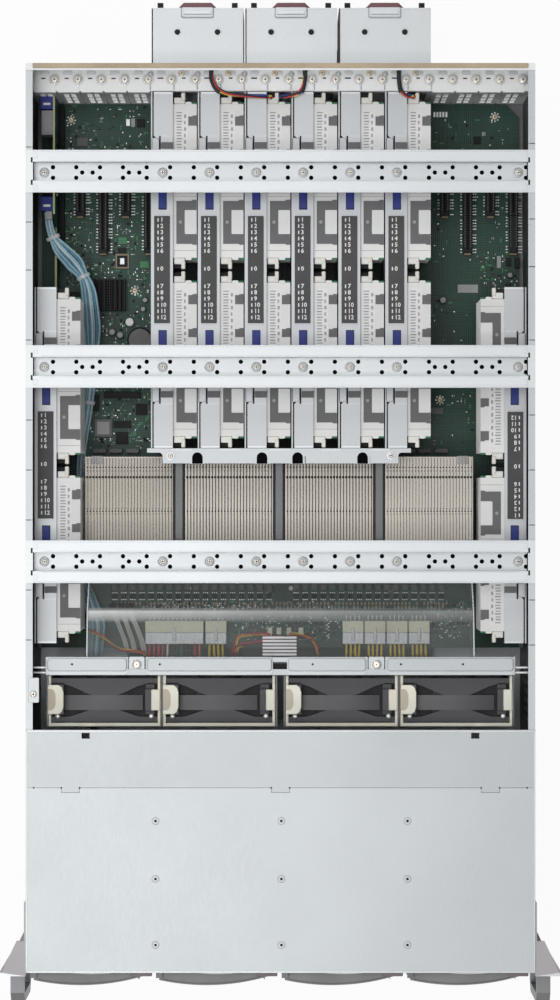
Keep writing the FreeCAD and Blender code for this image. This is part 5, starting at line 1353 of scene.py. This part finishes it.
def bend_haze():
    """Painted highlight: streaky white along the bend of the clear shroud, stronger on the left."""
    material, tree, principled, coords = shader("bend_haze")
    along = node(tree, "SeparateXYZ", {"Vector": coords}, "Y")
    across = node(tree, "SeparateXYZ", {"Vector": coords}, "X")
    share = spread(tree, along, 0.0, 1.0, (BEND - 10.0) * MM, (BEND + 2.5) * MM)
    shades = [(0.0, grey(0.0)), (0.25, grey(0.35)), (0.75, grey(0.95)), (1.0, grey(0.1))]
    streaks = noise(tree, mapped(tree, coords, (1.0, 0.05, 0.05)), 45.0)
    strength = times(tree, ramp(tree, share, shades), spread(tree, streaks, 0.65, 1.15))
    fall = spread(tree, across, 1.15, 0.35, -166.0 * MM, 75.0 * MM)
    fill(tree, principled, {"Base Color": (0.95, 0.96, 0.95, 1.0), "Roughness": 0.35})
    see = node(tree, "BsdfTransparent", {})
    layered(tree, times(tree, strength, fall), see, principled.outputs["BSDF"])
    return material


def make_shroud_haze():
    """Thin clear strip over the bend of the shroud, with the painted highlight on its upper side."""
    highlight_strip = Shape("shroud_bend_painted_highlight")
    rows = [(BEND + 2.5, 139.5), (BEND, 142.2), (BEND - 10.0, 144.4)]
    corners = ((-166.5, 0.0), (166.5, 0.0), (166.5, -0.04), (-166.5, -0.04))
    outlines = [[(across, along, level + lift) for across, lift in corners] for along, level in rows]
    # the upper faces carry the painted highlight of the bend
    highlight_strip.close(highlight_strip.skin(outlines, CLEAR)[:-2:4], bend_haze())
    highlight_strip.done()


def make_card():
    """Connectors, shield and edge of the card in the leftmost slot."""
    right, rear, top = edges_of("io_card")[1]
    face = right - 1.6
    card = Shape("io_card_parts")
    for along, length in ((rear - 11.2, 11.0), (rear - 100.2, 12.4)):
        card.blocks((face, along, top),
                    (-11.4, -0.1, 0.0, length, -24.0, -1.6, BLUE, 0.4),
                    (-8.6, -2.4, 3.6, 5.6, -1.8, -1.3, WHITE, 0.1),
                    (-11.6, -0.1, 8.0, length + 0.1, -14.0, -1.2, BLUE, 0.3))
    card.blocks((face, rear, top),
                (-10.4, -0.1, -33.4, -12.0, -30.0, -3.2, PATCH_LIGHT, 0.5),
                (-6.6, -1.0, -107.4, -100.3, -16.0, -2.6, PATCH_LIGHT, 0.3),
                (-0.05, 1.65, -103.0, -0.1, -0.5, 0.12, EDGE_GREEN),
                (-0.05, 1.65, -166.8, -113.0, -26.5, -25.9, EDGE_GREEN))
    card.pads((face, rear, top), (-9.2, -1.4, -31.5, -14.0, 1.0, -3.3, -2.9, PATCH_LIGHT, 0.2))
    for step in range(9):
        low, high = -20.0 - 2.0 * (step % 4), -12.0 - 2.0 * (step % 3)
        card.blocks((face, rear - 40.0 - 6.3 * step, top),
                    (-3.4 - step % 3, 0.0, -2.0, 1.6, low, high, BLACK, 0.2),
                    (1.6, 2.6, -1.6, 0.8, -30.0, -22.0, TIN if step % 2 else BLACK, 0.1))
    card.done()


make_loom()
make_sinks()
make_guide_plate()
make_shroud_haze()
make_card()

# Fan row

FAN_ARC = [(-43.5, 0.0), (-43.5, 3.6), (-36.0, 4.4), (-28.0, 7.2), (-20.0, 11.0), (-13.0, 14.2), (-8.0, 15.2)]
FAN_PLATE = FAN_ARC + [(-across, reach) for across, reach in reversed(FAN_ARC)]


def make_fan_bar():
    """Raised plates, screw tabs and rivets of the bar behind the fans."""
    low, high = edges_of("fan_cage_bar")
    front, rear, top = low[1], high[1], high[2]
    bar = Shape("fan_bar_plates")
    for left, right in ((45, 128), (146, 273), (287, 367), (386, 515)):
        x0 = max(spot(left, 666, top)[0], low[0] + 0.5)
        x1 = min(spot(right, 666, top)[0], high[0] - 0.5)
        bar.prism(rounded(x0, front - 0.1, x1, rear - 0.2, 3.0), top - 0.2, top + 0.5, GALVANISED, 0.3)
        raised = rounded(x0 + 0.9, front + 3.2, x1 - 0.9, rear - 1.0, 2.6)
        bar.prism(raised, top + 0.4, top + 1.5, STRIP_SHEET, 0.8)
    for pixel in (136.7, 376.5):
        across = spot(pixel, 664, top)[0]
        tab = rounded(across - 6.9, front - 0.1, across + 6.9, rear + 0.2, 1.4)
        bar.prism(tab, top - 2.6, top - 1.1, GALVANISED, 0.3)
        bar.turned((across, rear - 6.6, top - 1.2), [(4.9, 0), (4.7, 0.4), (3.9, 0.5)], BRIGHT)
        bar.screw(across, rear - 6.6, top - 0.8, 3.9, STEEL, BRASS)
    for pixel in (72.0, 159.8, 312.7, 401.0, 463.0):
        rivet = (*spot(pixel, 664.3, top + 1.5), top + 1.4)
        bar.turned(rivet, [(1.0, 0), (0.95, 0.15), (0.6, 0.16)], BLACK, 12)
    bar.blocks((0.0, rear, top),
               (-7.3, 7.3, -10.6, -0.4, -7.0, -4.6, BLACK),
               (-7.3, 7.3, -4.6, -0.2, -4.7, -0.2, STRIP_SHEET, 0.2))
    for side, along in itertools.product(SIDES, (front + 2.0, front + 6.4)):
        bar.blocks((side * 208.5, along, top), (-5.5, 5.5, -0.9, 0.9, -6.0, -1.6, BRIGHT, 0.3))
    bar.done()


def make_window():
    """Ribbed window and bright side edges of the shroud."""
    rear, top = edges_of("fan_cage_bar")[1][1:]
    window = Shape("shroud_window")
    left, right = (spot(pixel, 645, 148)[0] for pixel in (262.4, 296.8))
    for step in range(6):
        along = rear + 0.8 + 2.9 * step
        level = top - 2.7 - 0.201 * (along - rear + 6.0)
        window.block((left, along, level - 0.9), (right, along + 2.3, level + 1.0), RIB, 0.4)
    points = [(SINK_FRONT, 115.0), (BEND, 142.1), (rear + 0.3, 150.5)]
    for side, ((near, near_z), (far, far_z)) in itertools.product(SIDES, zip(points, points[1:])):
        length = (far - near) / 8
        for step in range(8):
            level = near_z + (far_z - near_z) * (step + 0.5) / 8
            place = (side * 167.4, near + length * step, level)
            window.blocks(place, (-0.5, 0.5, length, 0.0, -1.0, 0.5, CLEAR_EDGE))
    window.done()


def pull_outline(left, front, rear, reach, slope):
    """Outline of the finger pull or of the hollow in it."""
    side = [(0.1, 0.0), (reach - slope, 0.0), (reach - 0.35 * slope, 0.45 * slope), (reach, 1.5 * slope)]
    lower = [(left + across, front + along) for across, along in side]
    return lower + [(left + across, rear - along) for across, along in reversed(side)]


def make_fan(index):
    """Funnel plates, barrel band, finger pull, clip and pins on a fan module, with a dark block below as
    painted shade and the barrel band in painted-lit charcoal.
    """
    low, high = edges_of(f"fan_carrier_{index}")
    inner_low, inner_high = edges_of(f"fan_housing_{index}")
    roof, top = inner_high[2], high[2]
    left, right = low[0], high[0]
    rear, front = inner_high[1] - 0.1, inner_low[1] + 0.1
    middle = (left + right) / 2
    fan = Shape(f"fan_dress_{index}")
    # dark block under the fan top: painted shade in the gaps beside the barrel
    fan.block((left + 3.0, front + 4.4, roof - 16.0), (right - 3.0, rear - 4.4, roof - 5.0), FAN_SHADE_BLACK)
    # barrel band in the lighter charcoal: painted light on the lit top of the barrel
    crest = [(across, roof + 0.35 - 0.0020 * across ** 2) for across in range(-37, 35, 2)]
    corners = ((front + 10.2, 0.0), (rear - 14.6, 0.0), (rear - 14.6, -1.0), (front + 10.2, -1.0))
    rows = [[(middle + across, along, level + lift) for along, lift in corners] for across, level in crest]
    crown = fan.skin(rows, CHARCOAL_LIT)[:-2:4]
    for face in crown:
        face.smooth = True
    for edge in {edge for face in crown for edge in face.edges}:
        edge.smooth = all(face.smooth for face in edge.link_faces)
    for edge, share in ((rear, -1.0), (front, 10.8 / 15.2)):
        plate = [(middle + across, edge + share * reach) for across, reach in FAN_PLATE]
        fan.prism(plate, roof - 3.0, roof + 0.2, CHARCOAL, 0.3)
    for across, wide in ((middle - 39.4, 2.4), (middle + 39.4, 4.0)):
        wall = rounded(across - wide, front + 6.0, across + wide, rear - 5.0, 1.0)
        fan.prism(wall, roof - 12.0, roof - 1.0, CHARCOAL, 0.5)
    start, end = low[1] + 11.0, low[1] + 36.2
    fan.prism(pull_outline(left, start, end, 13.4, 4.2), top - 0.3, top + 1.0, CREAM, 0.5)
    for along, way in ((start - 0.2, 1), (end + 0.2, -1)):
        shade = [(left + 13.3, along), (left + 13.3, along + way * 6.6), (left + 8.4, along)]
        fan.prism(shade, top - 0.2, top + 0.06, CHARCOAL)
    # hollow of the pull in the darker ivory: painted shade
    fan.prism(pull_outline(left, start + 3.4, end - 3.4, 6.6, 3.4), top + 0.9, top + 1.15, IVORY_PAINTED_SHADE, 0.1)
    fan.blocks((right, low[1], roof),
               (-13.3, -7.6, 13.6, 32.4, -0.4, top - 4.6 - roof, CHARCOAL, 0.3),
               (-7.9, -0.5, 14.0, 32.0, 3.8, 5.8, CREAM, 0.5))
    for across in (left + 8.0, right - 8.0):
        pin = [(2.1, 0), (2.1, 3.8), (1.6, 4.6), (0.6, 4.9)]
        fan.turned((across, front + 5.0, roof - 1.0), pin, LABEL_PIN, 14)
    fan.block((left + 0.1, low[1] + 0.1, roof + 2.2), (right - 0.1, low[1] + 3.0, roof + 3.1), CREAM, 0.3)
    for across in (left + 0.15, right - 2.35):
        fan.block((across, low[1] + 0.3, roof + 2.0), (across + 2.2, high[1] - 0.3, roof + 3.0), CREAM, 0.3)
    fan.done(body=f"fan_module_{index}")


# Front levers

LEVER_BOW = 190.0
LEVER_MIDDLE = 43.26
LEVER_CENTRE = FRONT + 178.0


def lever_face(across):
    """How far forward the bowed face of a lever lies."""
    return LEVER_CENTRE - math.sqrt(LEVER_BOW ** 2 - (across - LEVER_MIDDLE) ** 2)


def lever_vents(shape, left, top):
    """Row of vents in the face of a lever."""
    for across in (22.0 + 7.6 * row for row in range(6)):
        place = (left + across, lever_face(across), top)
        shape.pads(place, (-2.6, 2.6, -0.25, 1.2, 0.5, -14.0, -5.0, LEVER_DARK))


def make_lever(index):
    """Light crescent, shadow line, end button, claw and vents on a drive lever."""
    top = edges_of(f"drive_lever_{index}")[1][2]
    left = edges_of(f"drive_carrier_{index}")[0][0]
    trim = Shape(f"lever_trim_{index}")
    shares = [step / 14 for step in range(15)]
    crescent = [(27.0, -0.3), (79.0, -0.3)]
    crescent += [(27.0 + 52.0 * share, -0.5 - 1.9 * math.sin(math.pi * share)) for share in shares[13:0:-1]]
    crescent = [(left + across, FRONT + along) for across, along in crescent]
    trim.prism(crescent, top - 0.2, top + 0.4, CRESCENT, 0.1)
    shadow = [(6.0 + 90.0 * share, lever_face(6.0 + 90.0 * share) + 0.9) for share in shares]
    shadow += [(across, along + 1.1) for across, along in reversed(shadow)]
    trim.prism([(left + across, along) for across, along in shadow], top - 0.2, top + 0.12, LEVER_DARK)
    trim.pads((left, FRONT, top), (86.0, 104.4, -4.4, -0.4, 0.9, -13.0, 0.5, BUTTON, 0.4))
    claw = ((88.0, -4.2), (91.0, -4.4), (93.6, -7.2), (93.0, -5.2), (94.0, -4.0))
    trim.prism([(left + across, FRONT + along) for across, along in claw], top - 12.0, top - 0.4, LEVER, 0.2)
    lever_vents(trim, left, top)
    trim.done(body=f"drive_lever_{index}")

    pitch = edges_of("drive_carrier_1")[1][2] - edges_of("lower_drive_carriers")[1][2]
    lower = Shape(f"lower_lever_trim_{index}")
    for level in range(1, 6):
        lever_vents(lower, left, top - pitch * level)
    lower.done()


def make_drive_lid(index):
    """Lid plate, blank label and screws on a drive."""
    low, high = edges_of(f"drive_carrier_{index}")
    origin = (low[0], FRONT, high[2])
    plate = Shape(f"drive_lid_{index}")
    plate.pads(origin,
               (6.0, 98.0, 16.0, 146.0, 5.0, -0.1, 0.06, TIN),
               (22.0, 82.0, 60.0, 128.0, 2.0, 0.0, 0.1, PATCH_LIGHT))
    for across, along in itertools.product((12.0, 92.0), (24.0, 81.0, 138.0)):
        place = (low[0] + across, FRONT + along, high[2])
        plate.turned(place, [(2.2, 0), (2.1, 0.1), (1.0, 0.12)], STEEL, 14)
    plate.done(body=f"drive_{index}")


# Rear fan boxes and power supplies

def make_rear_box(index):
    """Holes, grip frame, lead grommet, seams and wire guard of a rear fan box."""
    name = f"rear_fan_housing_{index}"
    low, high = edges_of(name)
    centre = (low[0] + high[0]) / 2
    end = REAR + 52.5
    top = FLANGE - 1.5
    axis = FLANGE - 46.5
    paint(name, BOX_SHEET, BURGUNDY, BLACK)
    repaint(name, 1, lambda x, y, z: y > end + 0.2 and abs(x - centre) < 20 and z > top - 12)
    repaint(name, 2, lambda x, y, z: y > end + 0.2 and abs(x - centre) > 25)
    box = Shape(f"rear_box_dress_{index}")
    for side, seam in zip(SIDES, (BLACK, BRIGHT)):
        hole = (centre + side * 17.4, REAR + 31.5, top)
        box.turned(hole, [(3.6, 0), (3.4, 0.25), (2.7, 0.28), (2.6, 0.1)], BRIGHT)
        box.turned(hole, [(2.55, 0), (2.5, 0.14), (2.2, 0.15)], BLACK, 18)
        edge = (centre + side * 39.2, REAR, top)
        box.pads(edge, (-0.5, 0.5, 2.0, 52.0, 0.4, -0.3, 0.4, seam, 0.2))
        bar = (centre + side * 33.0, end, axis)
        box.blocks(bar, (-1.0, 1.0, -0.1, 1.2, -38.5, 36.0, CHARCOAL, 0.3))
    box.pads((centre, end, top),
             (-39.0, 39.0, -1.4, -0.2, 0.5, -0.2, 0.4, BRIGHT, 0.2),
             (-14.3, 14.3, -8.9, 0.3, 1.6, 0.0, 1.0, PATCH_LIGHT, 0.1),
             (-13.6, 13.6, -8.0, 0.4, 1.6, 0.9, 1.5, BOX_SHEET, 0.5),
             (-12.2, 12.2, -6.4, -5.6, 0.3, 1.4, 1.6, PATCH_LIGHT),
             (-12.2, 12.2, -5.4, -2.2, 1.0, 1.4, 2.0, BRIGHT, 0.4))
    box.prism(arch(centre, end + 0.4, 15.0, 4.6, 15), top - 8.5, top - 3.4, BURGUNDY, 0.5)
    lead = (centre + 12.0, REAR, top)
    box.pads(lead, (-3.0, 3.0, 1.4, 4.4, 0.6, 0.0, 1.4, BLACK, 0.3))
    box.blocks(lead, (-2.2, 2.2, 0.2, 1.6, 0.2, 1.0, WIRE["yellow"], 0.2))
    for radius in (12.0, 20.0, 28.0, 36.0):
        box.hoop((centre, end + 0.9, axis), radius, 0.8, TIN, 36)
    box.blocks((centre, end, axis),
               (-37.0, 37.0, -0.1, 1.4, -1.2, 1.2, TIN, 0.4),
               (-1.2, 1.2, -0.1, 1.4, -37.0, 34.0, TIN, 0.4))
    box.done(body=f"rear_fan_module_{index}")


def make_supply(index):
    """Wire guard, inlet rim, handle pad and lamp of a power supply."""
    name = f"psu_{index}"
    low, high = edges_of(name)
    paint(name, GALVANISED, BLACK)
    left, right, floor = low[0] + 3, high[0] - 2, low[2] + 2.5
    repaint(name, 1, lambda x, y, z: y > REAR + 0.5)
    repaint(name, 1, lambda x, y, z: REAR - 20 < y < REAR - 0.5 and z > floor and left < x < right)
    unit = Shape(f"psu_dress_{index}")
    vent = (low[0] + 17.0, REAR, low[2] + 20.0)
    for radius in (4.5, 8.5, 12.4):
        unit.hoop((vent[0], REAR + 0.4, vent[2]), radius, 0.5, TIN, 28)
    unit.blocks(vent,
                (-13.2, 13.2, -0.2, 1.0, -0.6, 0.6, TIN, 0.2),
                (-0.6, 0.6, -0.2, 1.0, -13.2, 13.2, TIN, 0.2))
    unit.blocks((high[0], REAR, low[2]),
                (-31.5, -1.5, -0.3, 1.3, 1.5, 3.2, BLACK, 0.4),
                (-31.5, -1.5, -0.3, 1.3, 21.8, 23.5, BLACK, 0.4),
                (-31.5, -29.8, -0.3, 1.3, 1.5, 23.5, BLACK, 0.4),
                (-3.2, -1.5, -0.3, 1.3, 1.5, 23.5, BLACK, 0.4),
                (-2.8, -0.6, -0.2, 3.0, 27.5, 36.0, BURGUNDY, 0.5))
    lamp = (low[0] + 4.5, REAR - 0.2, low[2] + 4.5)
    unit.turned(lamp, [(1.5, 0), (1.5, 0.8), (1.1, 1.1)], STICK_GREEN, 14, level=True)
    unit.done(body=name)


# Walls and ears

WALL_SEAMS = {-1: (147, 222, 270, 340, 420, 470, 520, 590, 640),
              1: (143.4, 191.5, 219, 266.7, 340, 415, 470, 525, 600, 645)}


def make_walls():
    """Seams along the two wall lips, the earthing tab by the fans, the light flange of the ears, and the
    inner faces of the pan in dark steel as painted shade.
    """
    # inner walls and floor of the pan in dark steel: painted shade inside the chassis
    paint("chassis_pan", GALVANISED, DARK_STEEL)
    repaint("chassis_pan", 1, lambda x, y, z: abs(x) < 217.6 and 1.5 < z < 174.0)
    paint("rack_ears", EAR_PAINT, BRIGHT)
    repaint("rack_ears", 1, lambda x, y, z: y < FRONT - 0.2)
    wall = Shape("wall_trim")
    lip = TOP - 1.2
    for side, pixels in WALL_SEAMS.items():
        for pixel in pixels:
            seam = (side * 215.5, spot(280, pixel, lip)[1], lip)
            wall.blocks(seam, (-2.9, 2.9, -0.35, 0.35, -0.2, 0.06, BLACK))
        edge = (side * 213.2, FRONT, lip)
        wall.blocks(edge, (-0.3, 0.3, 212.0, REAR - 8.0 - FRONT, -0.2, 0.25, BRIGHT, 0.1))
    fan_front = edges_of("fan_carrier_1")[0][1]
    for step in range(6):
        start = fan_front + 2.0 + 8.0 * step
        wall.block((217.4, start - 0.4, 30.0), (218.2, start + 4.4, FLANGE + 0.4), PATCH_LIGHT, 0.1)
    across, along = spot(33.5, 694, lip)
    wall.pads((across, along, lip), (-4.4, 4.8, -7.4, 14.0, 1.0, -0.2, 1.0, GALVANISED, 0.3))
    wall.screw(across, along, lip + 0.9, 3.0)
    wall.done()


make_fan_bar()
make_window()
for index in range(1, 5):
    make_fan(index)
for index in range(1, 5):
    make_lever(index)
    make_drive_lid(index)
for index in range(1, 4):
    make_rear_box(index)
for index in range(1, 5):
    make_supply(index)
make_walls()

# Stage

FLOOR_REACH = 1.6
FLOOR_LEVEL = -0.0005


def seen(tree, kinds, share):
    """A share for rays of these kinds, and nothing for the rest."""
    rays = tree.nodes.new("ShaderNodeLightPath")
    total = 0.0
    for kind in kinds:
        total = node(tree, "Math", {0: rays.outputs[kind], 1: share, 2: total}, operation="MULTIPLY_ADD")
    return total


def make_floor():
    """Pale floor, nearly plain white to the camera, with the shadow kept."""
    material, tree, principled = shader("floor")[:3]
    fill(tree, principled, {"Base Color": (0.80, 0.80, 0.80, 1.0), "Roughness": 0.8})
    glow = node(tree, "Emission", {"Color": (1.0, 1.0, 1.0, 1.0)})
    share = seen(tree, ("Is Camera Ray", "Is Glossy Ray", "Is Transmission Ray"), 0.95)
    layered(tree, share, principled.outputs["BSDF"], glow)
    mesh = bpy.data.meshes.new("floor")
    signs = ((-1, -1), (1, -1), (1, 1), (-1, 1))
    corners = [(across * FLOOR_REACH, along * FLOOR_REACH, FLOOR_LEVEL) for across, along in signs]
    mesh.from_pydata(corners, [], [(0, 1, 2, 3)])
    mesh.materials.append(material)
    item = bpy.data.objects.new("floor", mesh)
    bpy.context.scene.collection.objects.link(item)


def area_light(name, place, aim, size, power):
    """A soft box."""
    data = bpy.data.lights.new(name, "AREA")
    data.shape = "RECTANGLE"
    data.size, data.size_y = size
    data.energy = power
    item = bpy.data.objects.new(name, data)
    item.location = place
    item.rotation_euler = (Vector(aim) - Vector(place)).to_track_quat("-Z", "Y").to_euler()
    bpy.context.scene.collection.objects.link(item)


def make_stage():
    """Floor, soft boxes, pale world and the camera straight above."""
    scene = bpy.context.scene
    make_floor()
    area_light("over", (-0.65, 0.35, 4.2), (-0.1, 0.1, 0.1), (2.0, 2.6), 52.0)
    area_light("key", (-0.4, -0.95, 3.6), (-0.12, -0.42, 0.1), (0.7, 0.5), 14.5)
    area_light("rear", (-0.6, 2.4, 2.6), (0.0, 0.1, 0.1), (2.0, 1.2), 21.0)
    area_light("front", (-1.0, -2.4, 2.2), (-0.1, -0.3, 0.1), (2.0, 1.2), 18.0)
    world = bpy.data.worlds.new("studio")
    world.use_nodes = True
    tree = world.node_tree
    light = tree.nodes["Background"]
    fill(tree, light, {"Color": (0.93, 0.95, 0.97, 1.0), "Strength": 0.20})
    white = node(tree, "Background", {"Color": (1.0, 1.0, 1.0, 1.0)})
    share = seen(tree, ("Is Camera Ray",), 1.0)
    layered(tree, share, light.outputs["Background"], white, "World Output")
    scene.world = world
    data = bpy.data.cameras.new("camera")
    data.lens = FOCAL * SENSOR / PICTURE_HEIGHT
    data.sensor_width = SENSOR
    data.shift_x = (MIDDLE_X - PICTURE_MIDDLE) / -PICTURE_HEIGHT
    data.clip_end = 50.0
    item = bpy.data.objects.new("camera", data)
    item.location = (0.0, CAMERA_Y * MM, (TOP + CAMERA_HEIGHT) * MM)
    scene.collection.objects.link(item)
    scene.camera = item
    scene.view_settings.view_transform = "Standard"


make_stage()
bpy.context.view_layer.update()
